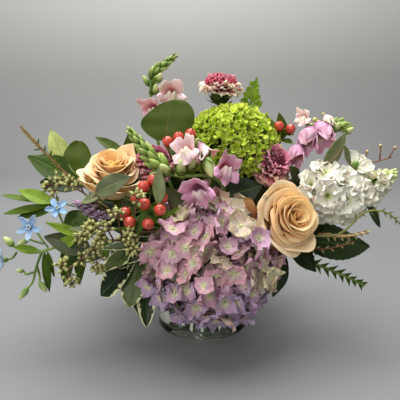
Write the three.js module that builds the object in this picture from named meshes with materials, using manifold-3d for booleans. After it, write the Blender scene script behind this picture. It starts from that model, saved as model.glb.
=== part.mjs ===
// A low table centerpiece: cut flowers, berries and foliage standing in water in a short glass cylinder.
// Millimetres, +Z up, +X to the right and -Y towards the side it is looked at from.
// The origin is the middle of the vase's flat underside.
import * as THREE from "three";
import { mergeVertices } from "three/addons/utils/BufferGeometryUtils.js";
import Module from "manifold-3d";

const wasm = await Module();
wasm.setup();

// ---- driving dimensions -------------------------------------------------------------------------
const VASE = { radius: 50, height: 95, wall: 3.5, floor: 8, corner: 2 };
const WATER_TOP = 68;
const GAP = 0.4; // what touching pieces leave between them
const FOOT_HEIGHT = VASE.floor + 1.5; // where cut stems end, just above the vase's floor
const MOUTH_HEIGHT = VASE.height + 6; // where stems pass the rim
const LEAF_THICKNESS = 1.2;
const STEM_SIDES = 6;

const COLOUR = {
  glass: 0xdfe8e4,
  water: 0xe6eeee,
  mauve: 0xc9a3b8,
  lime: 0xa5bf2c,
  peach: 0xf3b377,
  plum: 0xa04a5e,
  snap_pink: 0xcf93b4,
  white: 0xf1efe2,
  coral: 0xd9483f,
  sky: 0x7fb0de,
  lavender: 0x8f7f9f,
  stem: 0x5c7a35,
  bud: 0x86ab4b,
  leaf: 0x3c5a24,
  grey_leaf: 0x66775a,
  seed: 0x9a9a5a,
  cream_edge: 0x4d6440,
  twig: 0x6a4a2a,
};

// ---- solids -------------------------------------------------------------------------------------
function solidOf(geometry) {
  const plain = geometry.index ? geometry.toNonIndexed() : geometry.clone();
  plain.deleteAttribute("normal");
  plain.deleteAttribute("uv");
  const merged = mergeVertices(plain, 1e-3);
  return new wasm.Manifold(
    new wasm.Mesh({
      numProp: 3,
      vertProperties: merged.attributes.position.array,
      triVerts: new Uint32Array(merged.index.array),
    }),
  );
}

function geometryOf(solid) {
  const mesh = solid.getMesh();
  const places = new Float32Array(mesh.numVert * 3);
  for (let i = 0; i < mesh.numVert; i++) {
    places.set(mesh.vertProperties.subarray(i * mesh.numProp, i * mesh.numProp + 3), i * 3);
  }
  const geometry = new THREE.BufferGeometry();
  geometry.setAttribute("position", new THREE.BufferAttribute(places, 3));
  geometry.setIndex(new THREE.BufferAttribute(mesh.triVerts, 1));
  geometry.computeVertexNormals();
  return geometry;
}

const at = (place) => new THREE.Vector3(...place);

function polar(angle, radius, height) {
  const a = THREE.MathUtils.degToRad(angle);
  return [radius * Math.cos(a), radius * Math.sin(a), height];
}

// A cut stem or twig: an even tube through the places, closed at both ends.
function tube(places, radius, grow = 0) {
  const r = radius + grow;
  const section = new THREE.Shape();
  for (let i = 0; i < STEM_SIDES; i++) {
    const a = (i / STEM_SIDES) * 2 * Math.PI;
    const point = [r * Math.cos(a), r * Math.sin(a)];
    if (i === 0) section.moveTo(...point);
    else section.lineTo(...point);
  }
  section.closePath();
  const ends = places.map(at);
  if (grow) {
    const last = ends.length - 1;
    const first = ends[0].clone().sub(ends[1]).setLength(grow);
    const beyond = ends[last].clone().sub(ends[last - 1]).setLength(grow);
    ends[0].add(first);
    ends[last].add(beyond);
  }
  const path = new THREE.CatmullRomCurve3(ends, false, "centripetal");
  return solidOf(
    new THREE.ExtrudeGeometry(section, { steps: stepsFor(places), extrudePath: path, bevelEnabled: false }),
  );
}

// A straight stalk is one step; a longer way bends in even steps.
const stepsFor = (places) => (places.length === 2 ? 1 : Math.min(10, places.length * 2));

// The place on a tube's middle line that lies nearest to another place.
function nearestOn(places, place) {
  const path = new THREE.CatmullRomCurve3(places.map(at), false, "centripetal");
  const corners = path.getSpacedPoints(stepsFor(places));
  const target = at(place);
  let best = corners[0];
  for (let i = 1; i < corners.length; i++) {
    const spot = new THREE.Line3(corners[i - 1], corners[i]).closestPointToPoint(target, true, new THREE.Vector3());
    if (spot.distanceTo(target) < best.distanceTo(target)) best = spot;
  }
  return best.toArray();
}

// Turns and places a geometry whose own +Z should point along `facing`.
function aimed(geometry, place, facing) {
  const turn = new THREE.Quaternion().setFromUnitVectors(
    new THREE.Vector3(0, 0, 1),
    at(facing).normalize(),
  );
  return geometry.applyQuaternion(turn).translate(...place);
}

// A round or flattened flower head, with `across` and `deep` as its half sizes.
function head(place, facing, across, deep, grow = 0) {
  const rings = across < 8 ? 5 : across < 18 ? 6 : 9;
  const ball = new THREE.SphereGeometry(1, rings + 3, rings).rotateX(Math.PI / 2);
  ball.scale(across + grow, across + grow, deep + grow);
  return solidOf(aimed(ball, place, facing));
}

// A flower turned on its own axis: rows are [radius, height] from the back to the front.
function turned(place, facing, rows, grow = 0, sides = 12) {
  const low = rows[0][1] - grow;
  const high = rows[rows.length - 1][1] + grow;
  const profile = [new THREE.Vector2(0, low)];
  rows.forEach(([radius, height], i) => {
    const level = i === 0 ? low : i === rows.length - 1 ? high : height;
    profile.push(new THREE.Vector2(radius + grow, level));
  });
  profile.push(new THREE.Vector2(0, high));
  const lathe = new THREE.LatheGeometry(profile, sides).rotateX(Math.PI / 2);
  return solidOf(aimed(lathe, place, facing));
}

// Half widths along a leaf from its base to its tip, as shares of its half width.
const OUTLINE = {
  pointed: [0.1, 0.55, 0.92, 1, 0.82, 0.45, 0.08],
  round: [0.12, 0.72, 0.97, 1, 0.93, 0.7, 0.2],
  narrow: [0.15, 0.6, 0.9, 1, 0.9, 0.55, 0.06],
};

// A leaf from base to tip. `face` is the way its upper side looks; `arch` bends the tip away from that side.
function leaf({ base, tip, width, face = [0, -0.5, 0.8], arch = 0, outline = "pointed" }, grow = 0) {
  const start = at(base);
  const along = at(tip).sub(start);
  const length = along.length();
  along.normalize();
  const normal = at(face).normalize();
  normal.addScaledVector(along, -normal.dot(along)).normalize();
  const across = new THREE.Vector3().crossVectors(along, normal);
  const half = width / 2;
  const shares = OUTLINE[outline];
  const profile = [new THREE.Vector2(0, -grow)];
  shares.forEach((share, i) => {
    const station = (i + 0.35) / (shares.length - 0.3);
    profile.push(new THREE.Vector2(half * share + grow, station * length));
  });
  profile.push(new THREE.Vector2(0, length + grow));
  const blade = new THREE.LatheGeometry(profile, 6, Math.PI / 2);
  const flat = (LEAF_THICKNESS / 2 + grow) / (half + grow) / Math.sin(Math.PI / 3);
  const places = blade.attributes.position;
  for (let i = 0; i < places.count; i++) {
    const t = places.getY(i) / length;
    const bent = places.getZ(i) * flat - arch * t * t;
    const place = start.clone().addScaledVector(across, places.getX(i));
    place.addScaledVector(along, places.getY(i)).addScaledVector(normal, bent);
    places.setXYZ(i, place.x, place.y, place.z);
  }
  const solid = solidOf(blade);
  return solid.volume() > 0 ? solid : solidOf(turnedOver(blade));
}

function turnedOver(geometry) {
  const order = geometry.index.array;
  for (let i = 0; i < order.length; i += 3) {
    [order[i + 1], order[i + 2]] = [order[i + 2], order[i + 1]];
  }
  return geometry;
}

const joined = (solids) => solids.reduce((all, one) => all.add(one));

// Leaves that start on a stem's middle line.
function leavesOn(places, leaves, grow) {
  return leaves.map((one) => leaf({ ...one, base: nearestOn(places, one.base) }, grow));
}

// ---- the arrangement: every piece keeps clear of the pieces named before it ---------------------------
const centerpiece = new THREE.Group();
const placed = [];

function overlapOfBoxes(a, b) {
  return [0, 1, 2].every((k) => a.min[k] < b.max[k] && b.min[k] < a.max[k]);
}

function add(name, colour, shape, look = {}) {
  let solid = shape(0);
  const room = shape(GAP);
  const box = room.boundingBox();
  for (const other of placed) {
    if (overlapOfBoxes(box, other.box)) solid = solid.subtract(other.room);
  }
  const bodies = solid.decompose().sort((a, b) => b.volume() - a.volume());
  solid = bodies[0];
  placed.push({ name, room, box });
  const material = new THREE.MeshStandardMaterial({
    color: colour,
    roughness: look.roughness ?? 0.6,
    metalness: 0,
    transparent: look.opacity !== undefined,
    opacity: look.opacity ?? 1,
  });
  const geometry = geometryOf(solid);
  geometry.computeBoundingBox();
  const middle = geometry.boundingBox.getCenter(new THREE.Vector3()).round();
  geometry.translate(-middle.x, -middle.y, -middle.z);
  const mesh = new THREE.Mesh(geometry, material);
  mesh.name = name;
  mesh.position.copy(middle);
  centerpiece.add(mesh);
}

// The way up from a foot in the water, past the rim, in one upright plane.
function rooted(angle, ring, places) {
  return [polar(angle, ring * 0.62, FOOT_HEIGHT), polar(angle, ring, MOUTH_HEIGHT), ...places];
}

// ---- vase ------------------------------------------------------------------------------------------
function vase(grow) {
  const { radius, height, wall, floor, corner } = VASE;
  const outer = radius + grow;
  const inner = radius - wall - grow;
  const profile = [
    [0, -grow],
    [outer - corner, -grow],
    [outer, corner - grow],
    [outer, height + grow],
    [inner, height + grow],
    [inner, floor + corner + grow],
    [inner - corner, floor + grow],
    [0, floor + grow],
  ];
  const turnedGlass = new THREE.LatheGeometry(
    profile.map(([r, z]) => new THREE.Vector2(r, z)),
    40,
  );
  return solidOf(turnedGlass.rotateX(Math.PI / 2));
}
add("glass_vase", COLOUR.glass, vase, { roughness: 0.05, opacity: 0.35 });

// ---- stems -----------------------------------------------------------------------------------------
const STEMS = {
  hydrangea_pink_stem: [3.2, rooted(-84, 37, [[5, -48, 110]])],
  hydrangea_green_stem: [2.6, rooted(10, 14, [[27, 4, 174]])],
  rose_right_stem: [2.8, rooted(-40, 36, [[60, -44, 119]])],
  rose_left_stem: [2.8, rooted(-160, 35, [[-62, -21, 130], [-83, -28, 148]])],
  rose_back_stem: [2.8, rooted(105, 26, [[-18, 62, 150], [-22, 76, 164]])],
  scabiosa_top_stem: [1.6, rooted(48, 14, [[17, 18, 170], [17, 16, 232]])],
  scabiosa_right_stem: [1.6, rooted(-12, 26, [[52, -6, 152], [60, -9, 163]])],
  scabiosa_left_stem: [1.6, rooted(-172, 20, [[-40, -9, 135], [-54, -15, 158]])],
};
for (const [name, [radius, places]] of Object.entries(STEMS)) {
  add(name, COLOUR.stem, (grow) => tube(places, radius, grow));
}

// A flower spike: its stem, with closed buds up to the tip.
function spike(places, radius, buds, grow) {
  const parts = [tube(places, radius, grow)];
  for (const [place, facing, across, deep] of buds) {
    const stalk = tube([nearestOn(places, place), place], radius * 0.7, grow);
    parts.push(stalk, head(place, facing, across, deep, grow));
  }
  return joined(parts);
}
const SNAPDRAGON_TOP = rooted(165, 20, [[-42, 14, 170], [-53, 11, 225], [-53, 9, 262], [-29, 10, 285]]);
add("snapdragon_top_spike", COLOUR.bud, (grow) =>
  spike(
    SNAPDRAGON_TOP,
    1.9,
    [
      [[-53, 5, 262], [-0.3, -0.6, 0.6], 4.5, 8],
      [[-47, 8, 271], [0.5, -0.4, 0.8], 4.5, 8],
      [[-38, 9, 278], [0.7, -0.2, 0.7], 3.8, 8],
    ],
    grow,
  ),
);
const SNAPDRAGON_MIDDLE = rooted(-75, 16, [[19, -52, 152], [5, -66, 170], [-26, -70, 171], [-46, -66, 187], [-66, -61, 210]]);
add("snapdragon_middle_spike", COLOUR.bud, (grow) =>
  spike(
    SNAPDRAGON_MIDDLE,
    2.1,
    [
      [[-37, -71, 180], [-0.5, -0.6, 0.4], 7, 10],
      [[-46, -70, 190], [-0.6, -0.5, 0.6], 5.5, 9],
      [[-55, -66, 199], [-0.6, -0.4, 0.7], 4.5, 9],
    ],
    grow,
  ),
);
const SNAPDRAGON_RIGHT = rooted(6, 32, [[68, 8, 150], [98, 4, 190], [128, 2, 213], [150, 1, 213]]);
add("snapdragon_right_spike", COLOUR.bud, (grow) =>
  spike(
    SNAPDRAGON_RIGHT,
    1.9,
    [
      [[134, -1, 216], [0.6, -0.4, 0.7], 5, 8],
      [[145, -1, 212], [0.7, -0.4, -0.3], 4.2, 8],
      [[107, 2, 217], [-0.3, -0.4, 0.8], 10, 9],
    ],
    grow,
  ),
);
const STOCK = rooted(-12, 37, [[72, -16, 130], [118, -26, 146], [160, -25, 152], [194, -20, 168]]);
add("stock_spike", COLOUR.bud, (grow) =>
  spike(
    STOCK,
    2.4,
    [
      [[182, -23, 161], [0.9, -0.2, 0.4], 10, 12],
      [[194, -20, 169], [0.9, 0, 0.4], 6, 9],
    ],
    grow,
  ),
);

// ---- berries ---------------------------------------------------------------------------------------
function berrySpray(places, berries, leaves, grow) {
  const parts = [tube(places, 1.5, grow)];
  const crown = places[places.length - 1];
  for (const place of berries) {
    parts.push(tube([crown, place], 0.9, grow), head(place, [0, -0.6, 0.8], 5.2, 5.8, grow));
  }
  return joined([...parts, ...leavesOn(places, leaves, grow)]);
}
const BERRY_LEAF = { width: 9, arch: 2 };
add("hypericum_left_spray", COLOUR.coral, (grow) =>
  berrySpray(
    rooted(-122, 37, [[-42, -66, 128], [-50, -78, 144]]),
    [
      [-50, -92, 150],
      [-37, -92, 145],
      [-63, -92, 134],
      [-47, -94, 133],
      [-52, -80, 163],
      [-59, -80, 153],
      [-36, -80, 153],
      [-68, -86, 141],
    ],
    [{ ...BERRY_LEAF, base: [-50, -78, 144], tip: [-26, -82, 140], face: [0, -0.6, 0.8] }],
    grow,
  ),
);
add("hypericum_middle_spray", COLOUR.coral, (grow) =>
  berrySpray(
    rooted(-128, 15, [[-24, -28, 178], [-25, -32, 196]]),
    [
      [-33, -36, 204],
      [-18, -36, 210],
      [-25, -34, 205],
    ],
    [],
    grow,
  ),
);
add("hypericum_right_spray", COLOUR.coral, (grow) =>
  berrySpray(
    rooted(24, 27, [[64, 20, 170], [84, 8, 200]]),
    [
      [79, 2, 214],
      [91, 2, 211],
    ],
    [
      { ...BERRY_LEAF, base: [84, 8, 200], tip: [81, 6, 226], width: 12, face: [0, -1, 0] },
      { ...BERRY_LEAF, base: [84, 8, 200], tip: [86, 0, 218], width: 8, face: [0, -1, 0] },
    ],
    grow,
  ),
);

// ---- blue tweedia ------------------------------------------------------------------------------------
const TWEEDIA = rooted(-148, 38, [[-78, -52, 118], [-112, -56, 112], [-152, -60, 98], [-172, -60, 99]]);
const TWEEDIA_BUDS = [
  [[-168, -60, 60], [-0.5, 0, -0.8], 4, 9],
  [[-157, -60, 66], [0.5, 0, -0.8], 3.5, 8],
  [[-180, -60, 106], [-0.8, 0, 0.6], 4.5, 9],
];
const TWEEDIA_LEAVES = [
  { base: [-150, -60, 97], tip: [-148, -58, 56], width: 9, face: [1, -0.4, 0], arch: 4 },
  { base: [-128, -58, 106], tip: [-134, -56, 62], width: 13, face: [0.3, -0.9, 0], arch: 3 },
  { base: [-112, -56, 111], tip: [-116, -60, 66], width: 12, face: [0.3, -0.9, 0], arch: 3 },
];
add("tweedia_stem", COLOUR.bud, (grow) =>
  joined([spike(TWEEDIA, 1.6, TWEEDIA_BUDS, grow), ...leavesOn(TWEEDIA, TWEEDIA_LEAVES, grow)]),
);
const TWEEDIA_FLOWERS = {
  tweedia_flower_upper: [[-138, -52, 140], [0.2, -0.8, 0.5], [-128, -54, 112]],
  tweedia_flower_middle: [[-161, -62, 123], [-0.2, -0.9, 0.3], [-146, -60, 102]],
  tweedia_flower_outer: [[-190, -62, 90], [-0.7, -0.6, 0.1], [-176, -60, 97]],
};
for (const [name, [place, facing, root]] of Object.entries(TWEEDIA_FLOWERS)) {
  add(name, COLOUR.sky, (grow) =>
    joined([head(place, facing, 12, 4, grow), tube([root, place], 0.9, grow)]),
  );
}

// ---- leafy sprays: one stem with its own leaves ---------------------------------------------------
function spray(places, radius, leaves, grow) {
  return joined([tube(places, radius, grow), ...leavesOn(places, leaves, grow)]);
}

const SPRAYS = {
  eucalyptus_round_leaf: {
    colour: COLOUR.leaf,
    radius: 1.1,
    places: rooted(-140, 11, [[-24, -24, 165], [-33, -40, 190], [-36, -42, 204]]),
    leaves: [{ base: [-36, -42, 203], tip: [-26, -36, 243], width: 44, face: [0.1, -0.95, 0.2], outline: "round" }],
  },
  eucalyptus_over_rose: {
    colour: COLOUR.grey_leaf,
    radius: 1.1,
    places: rooted(-140, 39, [[-60, -62, 118], [-84, -84, 146], [-97, -84, 154]]),
    leaves: [
      { base: [-96, -83, 153], tip: [-62, -84, 170], width: 24, face: [-0.2, -0.8, 0.6] },
      { base: [-95, -84, 153], tip: [-116, -84, 146], width: 12, face: [-0.2, -0.8, 0.6] },
    ],
  },
  eucalyptus_low_left: {
    colour: COLOUR.grey_leaf,
    radius: 1.1,
    places: rooted(-154, 41, [[-76, -44, 106], [-104, -58, 104]]),
    leaves: [
      { base: [-103, -58, 104], tip: [-144, -62, 114], width: 18, face: [-0.1, -0.8, 0.6] },
      { base: [-96, -54, 105], tip: [-124, -62, 122], width: 9, face: [0, -0.6, 0.8] },
    ],
  },
  eucalyptus_narrow_leaf: {
    colour: COLOUR.grey_leaf,
    radius: 1.1,
    places: rooted(-112, 30, [[-26, -62, 130], [-36, -78, 170], [-38, -86, 180]]),
    leaves: [
      { base: [-38, -87, 180], tip: [-37, -97, 152], width: 12, face: [0.2, -1, 0], outline: "narrow" },
      { base: [-20, -56, 128], tip: [-30, -80, 158], width: 20, face: [0.7, -0.6, 0.3] },
    ],
  },
  eucalyptus_long_leaf: {
    colour: COLOUR.grey_leaf,
    radius: 1.1,
    places: rooted(-130, 43, [[-42, -56, 106], [-52, -68, 110]]),
    leaves: [
      { base: [-51, -67, 110], tip: [-96, -84, 86], width: 18, face: [-0.1, -0.6, 0.8], arch: 4, outline: "narrow" },
      { base: [-50, -64, 108], tip: [-88, -84, 104], width: 12, face: [-0.1, -0.6, 0.8] },
    ],
  },
  eucalyptus_right: {
    colour: COLOUR.grey_leaf,
    radius: 1.1,
    places: rooted(-4, 39, [[80, -10, 150], [118, -38, 178], [134, -34, 194]]),
    leaves: [
      { base: [118, -38, 172], tip: [134, -34, 204], width: 13, face: [0.3, -0.9, 0.2], outline: "narrow" },
      { base: [134, -34, 194], tip: [142, -20, 178], width: 6, face: [0.3, -0.9, 0.2], outline: "narrow" },
    ],
  },
  salal_left: {
    colour: COLOUR.leaf,
    radius: 1.4,
    places: rooted(177, 37, [[-84, 4, 138], [-128, -8, 162], [-140, -6, 174]]),
    leaves: [
      { base: [-128, -9, 160], tip: [-178, -16, 186], width: 34, face: [0, -0.75, 0.65], arch: 6 },
      { base: [-140, -5, 172], tip: [-157, 0, 210], width: 24, face: [0.1, -0.9, 0.4], arch: 4 },
      { base: [-124, -5, 160], tip: [-118, 4, 200], width: 32, face: [0, -0.95, 0.3], outline: "round" },
    ],
  },
  salal_right: {
    colour: COLOUR.leaf,
    radius: 1.4,
    places: rooted(-24, 42, [[76, -34, 96], [104, -34, 98]]),
    leaves: [
      { base: [102, -34, 98], tip: [170, -30, 96], width: 36, face: [0.1, -0.7, 0.7], arch: 6 },
      { base: [74, -36, 95], tip: [70, -66, 56], width: 34, face: [0.7, -0.6, 0.3], arch: 4 },
    ],
  },
  salal_centre: {
    colour: COLOUR.leaf,
    radius: 1.3,
    places: rooted(-62, 28, [[28, -34, 128], [26, -36, 146]]),
    leaves: [{ base: [22, -38, 144], tip: [54, -40, 158], width: 28, face: [0.1, -0.9, 0.4] }],
  },
  variegated_pittosporum: {
    colour: COLOUR.cream_edge,
    radius: 1.4,
    places: rooted(-140, 44, [[-50, -46, 102], [-62, -58, 94]]),
    leaves: [
      { base: [-62, -57, 94], tip: [-100, -66, 58], width: 30, face: [-0.5, -0.7, 0.4], arch: 4 },
      { base: [-58, -57, 95], tip: [-68, -84, 54], width: 26, face: [-0.2, -0.8, 0.5], arch: 4 },
      { base: [-52, -50, 101], tip: [-60, -66, 34], width: 26, face: [-0.4, -0.9, 0.1], arch: 4 },
    ],
  },
  ruscus_left: {
    colour: COLOUR.leaf,
    radius: 1.1,
    places: rooted(-170, 40, [[-92, -22, 122], [-132, -36, 138], [-150, -40, 141]]),
    leaves: [
      { base: [-149, -40, 141], tip: [-193, -42, 149], width: 9, face: [0, -0.5, 0.8], outline: "narrow" },
      { base: [-144, -41, 141], tip: [-182, -42, 154], width: 15, face: [0, -0.7, 0.7] },
      { base: [-148, -42, 139], tip: [-192, -44, 131], width: 9, face: [0, -0.7, 0.7], outline: "narrow" },
      { base: [-144, -42, 138], tip: [-180, -44, 126], width: 15, face: [0, -0.7, 0.7] },
      { base: [-120, -34, 132], tip: [-100, -60, 116], width: 18, face: [0, -0.7, 0.7] },
    ],
  },
};
for (const [name, { colour, radius, places, leaves }] of Object.entries(SPRAYS)) {
  add(name, colour, (grow) => spray(places, radius, leaves, grow));
}

// Clusters of small seed capsules on a forking twig.
function seeded(places, clusters, grow) {
  const parts = [tube(places, 1, grow)];
  for (const [root, place, across] of clusters) {
    parts.push(tube([root, place], 0.8, grow), head(place, [0, -0.4, 0.9], across, across * 0.7, grow));
  }
  return joined(parts);
}
add("seeded_eucalyptus_upper", COLOUR.seed, (grow) =>
  seeded(
    rooted(-166, 38, [[-88, -34, 126], [-118, -34, 150], [-134, -32, 156]]),
    [
      [[-118, -34, 150], [-122, -34, 160], 8],
      [[-134, -32, 156], [-142, -32, 157], 9],
    ],
    grow,
  ),
);
add("seeded_eucalyptus_lower", COLOUR.seed, (grow) =>
  seeded(
    rooted(-132, 40, [[-66, -72, 112], [-86, -88, 118], [-118, -82, 92]]),
    [
      [[-66, -72, 112], [-54, -98, 158], 9],
      [[-86, -88, 118], [-92, -90, 130], 10],
      [[-86, -88, 118], [-80, -92, 118], 9],
      [[-98, -88, 110], [-95, -84, 102], 8],
      [[-110, -84, 98], [-118, -82, 86], 9],
    ],
    grow,
  ),
);

// ---- twigs and tips ------------------------------------------------------------------------------
function twig(places, radius, needles, grow) {
  const leaves = needles.map(([base, tip]) => ({ base, tip, width: 4, face: [0, -1, 0.2] }));
  return spray(places, radius, leaves, grow);
}
add("grevillea_left_twig", COLOUR.twig, (grow) =>
  twig(
    rooted(-178, 42, [[-88, -12, 136], [-126, -24, 158], [-160, -20, 190], [-181, -20, 214]]),
    1.3,
    [
      [[-146, -22, 176], [-158, -24, 180]],
      [[-154, -22, 184], [-150, -22, 198]],
    ],
    grow,
  ),
);
add("thorny_green_twig", COLOUR.leaf, (grow) =>
  twig(
    rooted(-16, 44, [[78, -24, 88], [104, -34, 80], [134, -42, 70], [160, -44, 58]]),
    1.3,
    [
      [[112, -36, 78], [116, -38, 66]],
      [[124, -40, 73], [132, -44, 82]],
      [[136, -42, 70], [138, -44, 56]],
      [[144, -43, 66], [156, -45, 72]],
    ],
    grow,
  ),
);
add("curled_brown_twig", COLOUR.twig, (grow) =>
  twig(
    rooted(-27, 40, [[88, -46, 110], [126, -58, 114], [158, -54, 132], [188, -50, 122]]),
    1.2,
    [
      [[126, -58, 114], [154, -56, 114]],
      [[168, -53, 130], [176, -52, 138]],
    ],
    grow,
  ),
);
add("brown_seed_twig", COLOUR.twig, (grow) =>
  twig(
    rooted(4, 43, [[100, 2, 142], [150, -2, 168], [197, -2, 182]]),
    1.1,
    [
      [[170, -2, 174], [172, -2, 184]],
      [[190, -2, 180], [188, -2, 192]],
    ],
    grow,
  ),
);
add("fern_tip", COLOUR.bud, (grow) =>
  twig(
    rooted(32, 20, [[52, 32, 190], [52, 28, 238], [56, 26, 268]]),
    1.1,
    [
      [[52, 28, 240], [64, 26, 243]],
      [[53, 28, 248], [64, 26, 252]],
      [[53, 27, 254], [45, 26, 250]],
    ],
    grow,
  ),
);
add("lavender_sprig", COLOUR.lavender, (grow) =>
  joined([
    tube(rooted(-152, 30, [[-60, -36, 124], [-96, -60, 132], [-110, -66, 146]]), 0.9, grow),
    head([-103, -64, 137], [-0.5, -0.2, 0.8], 5, 8, grow),
    head([-110, -66, 147], [-0.3, 0, 0.9], 3.5, 8, grow),
  ]),
);

// ---- the hidden back ------------------------------------------------------------------------------
const BACK_SPRAYS = {
  salal_back_left: {
    radius: 1.4,
    places: rooted(138, 40, [[-58, 52, 124], [-72, 64, 150]]),
    leaves: [
      { base: [-70, 62, 145], tip: [-124, 78, 152], width: 38, face: [-0.3, 0.4, 0.85], arch: 10 },
      { base: [-56, 50, 120], tip: [-66, 112, 106], width: 38, face: [-0.2, 0.6, 0.75], arch: 8 },
      { base: [-72, 64, 148], tip: [-90, 62, 204], width: 36, face: [-0.4, 0.9, 0.2], arch: 5 },
      { base: [-48, 42, 112], tip: [-104, 56, 104], width: 34, face: [-0.5, 0.3, 0.8], arch: 8 },
    ],
  },
  salal_back_right: {
    radius: 1.4,
    places: rooted(52, 40, [[48, 60, 124], [60, 72, 150]]),
    leaves: [
      { base: [58, 70, 145], tip: [112, 84, 150], width: 38, face: [0.3, 0.4, 0.85], arch: 10 },
      { base: [46, 56, 120], tip: [44, 118, 106], width: 38, face: [0.2, 0.6, 0.75], arch: 8 },
      { base: [60, 72, 148], tip: [70, 66, 204], width: 36, face: [0.4, 0.9, 0.2], arch: 5 },
      { base: [38, 46, 110], tip: [98, 60, 102], width: 34, face: [0.5, 0.3, 0.8], arch: 8 },
    ],
  },
};
for (const [name, { radius, places, leaves }] of Object.entries(BACK_SPRAYS)) {
  add(name, COLOUR.leaf, (grow) => spray(places, radius, leaves, grow));
}

// ---- flower heads ----------------------------------------------------------------------------------
// A hydrangea is a dome of florets with a flat back.
const DOME = [
  [0.5, -0.22],
  [0.9, -0.12],
  [1, 0.1],
  [0.94, 0.36],
  [0.75, 0.58],
  [0.45, 0.72],
  [0.16, 0.78],
];
const dome = (size, rise) => DOME.map(([radius, height]) => [radius * size, height * size * rise]);
add("hydrangea_pink_head", COLOUR.mauve, (grow) => turned([8, -68, 93], [0, -0.95, 0.3], dome(65, 1), grow, 14));
add("hydrangea_green_head", COLOUR.lime, (grow) => turned([30, 5, 194], [0, -0.25, 0.95], dome(48, 1.25), grow, 14));

const ROSE = [
  [9, -24],
  [23, -16],
  [32, 0],
  [32, 12],
  [21, 24],
];
add("rose_right_head", COLOUR.peach, (grow) => turned([73, -65, 132], [0.3, -0.88, 0.3], ROSE, grow));
add("rose_left_head", COLOUR.peach, (grow) => turned([-93, -38, 170], [0.1, -0.45, 0.88], ROSE, grow));
add("rose_back_head", COLOUR.peach, (grow) => turned([-26, 88, 172], [-0.1, 0.75, 0.65], ROSE, grow));

// The flat skirt of outer florets and the raised crown of inner ones.
const scabiosa = (skirt) => [
  [skirt * 0.45, -10],
  [skirt, -4],
  [skirt, 5],
  [skirt * 0.72, 10],
  [skirt * 0.82, 22],
  [skirt * 0.5, 25],
];
add("scabiosa_top_head", COLOUR.plum, (grow) => turned([17, 14, 244], [0.06, -0.1, 0.99], scabiosa(22), grow));
add("scabiosa_right_head", COLOUR.plum, (grow) => turned([66, -16, 174], [0.42, -0.7, 0.58], scabiosa(24), grow));
add("scabiosa_left_head", COLOUR.plum, (grow) => turned([-52, -20, 172], [0.25, -0.3, 0.92], scabiosa(20), grow));

// Open snapdragon blooms: place, facing, half width, half depth.
const SNAPDRAGON_BLOOMS = {
  snapdragon_top_bloom_upper: [[-32, -4, 248], [0.2, -0.9, 0.2], 15, 10],
  snapdragon_top_bloom_lower: [[-56, -2, 233], [-0.5, -0.8, 0], 14, 10],
  snapdragon_middle_bloom_left: [[-16, -72, 192], [-0.3, -0.8, 0.4], 14, 11],
  snapdragon_middle_bloom_centre: [[-1, -62, 196], [0.3, -0.7, 0.6], 11, 10],
  snapdragon_middle_bloom_low: [[-2, -90, 158], [0.1, -0.95, -0.1], 15, 10],
  snapdragon_middle_bloom_right: [[24, -76, 172], [0.5, -0.8, 0.1], 15, 10],
  snapdragon_right_bloom_low: [[96, -14, 178], [-0.1, -0.95, 0.1], 14, 11],
  snapdragon_right_bloom_mid: [[110, -12, 200], [0.1, -0.9, 0.3], 14, 11],
  snapdragon_right_bloom_high: [[128, -12, 199], [0.4, -0.8, 0.1], 13, 10],
};
for (const [name, [place, facing, across, deep]] of Object.entries(SNAPDRAGON_BLOOMS)) {
  add(name, COLOUR.snap_pink, (grow) => head(place, facing, across, deep, grow));
}

add("stock_blooms", COLOUR.white, (grow) =>
  joined([
    head([114, -38, 148], [0.3, -0.8, 0.2], 25, 20, grow),
    head([140, -36, 146], [0.3, -0.8, 0.2], 23, 19, grow),
    head([162, -32, 152], [0.5, -0.7, 0.2], 17, 15, grow),
    head([157, -18, 180], [0.3, -0.7, 0.6], 15, 9, grow),
    tube([[158, -26, 160], [157, -18, 180]], 2, grow),
  ]),
);

// ---- water, last, so that every stem stands in it ------------------------------------------------
add(
  "water",
  COLOUR.water,
  (grow) => {
    const wet = VASE.radius - VASE.wall - GAP + grow;
    const low = VASE.floor + GAP - grow;
    const profile = [
      [0, low],
      [wet - VASE.corner, low],
      [wet, low + VASE.corner],
      [wet, WATER_TOP + grow],
      [0, WATER_TOP + grow],
    ];
    const poured = new THREE.LatheGeometry(
      profile.map(([r, z]) => new THREE.Vector2(r, z)),
      32,
    );
    return solidOf(poured.rotateX(Math.PI / 2));
  },
  { roughness: 0.02, opacity: 0.3 },
);

export default centerpiece;
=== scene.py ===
import math
import random

import bmesh
import bpy
import numpy as np
from mathutils import Matrix, Vector, noise


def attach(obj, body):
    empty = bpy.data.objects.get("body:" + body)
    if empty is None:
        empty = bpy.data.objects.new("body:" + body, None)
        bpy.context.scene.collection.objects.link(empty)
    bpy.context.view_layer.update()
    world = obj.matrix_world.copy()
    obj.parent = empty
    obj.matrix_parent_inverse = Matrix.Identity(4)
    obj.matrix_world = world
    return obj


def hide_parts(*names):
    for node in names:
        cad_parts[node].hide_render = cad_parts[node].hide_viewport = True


# The looks of a low table centerpiece: cut flowers and foliage in a short glass cylinder.
# Shapes are made in millimetres in the frame's own axes and turned to metres when a piece is finished.
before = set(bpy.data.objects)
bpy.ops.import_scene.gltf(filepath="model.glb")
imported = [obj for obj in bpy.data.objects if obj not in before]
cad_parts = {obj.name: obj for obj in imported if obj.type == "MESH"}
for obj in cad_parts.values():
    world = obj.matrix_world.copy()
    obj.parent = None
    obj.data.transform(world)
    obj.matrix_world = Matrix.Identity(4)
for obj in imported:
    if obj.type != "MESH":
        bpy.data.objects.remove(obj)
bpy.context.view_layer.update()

MM = 0.001  # metres in a millimetre
FULL_TURN = 2 * math.pi
GOLDEN = math.radians(137.508)  # the turn from one petal or bud of a spiral to the next
UP = Vector((0, 0, 1))
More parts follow.
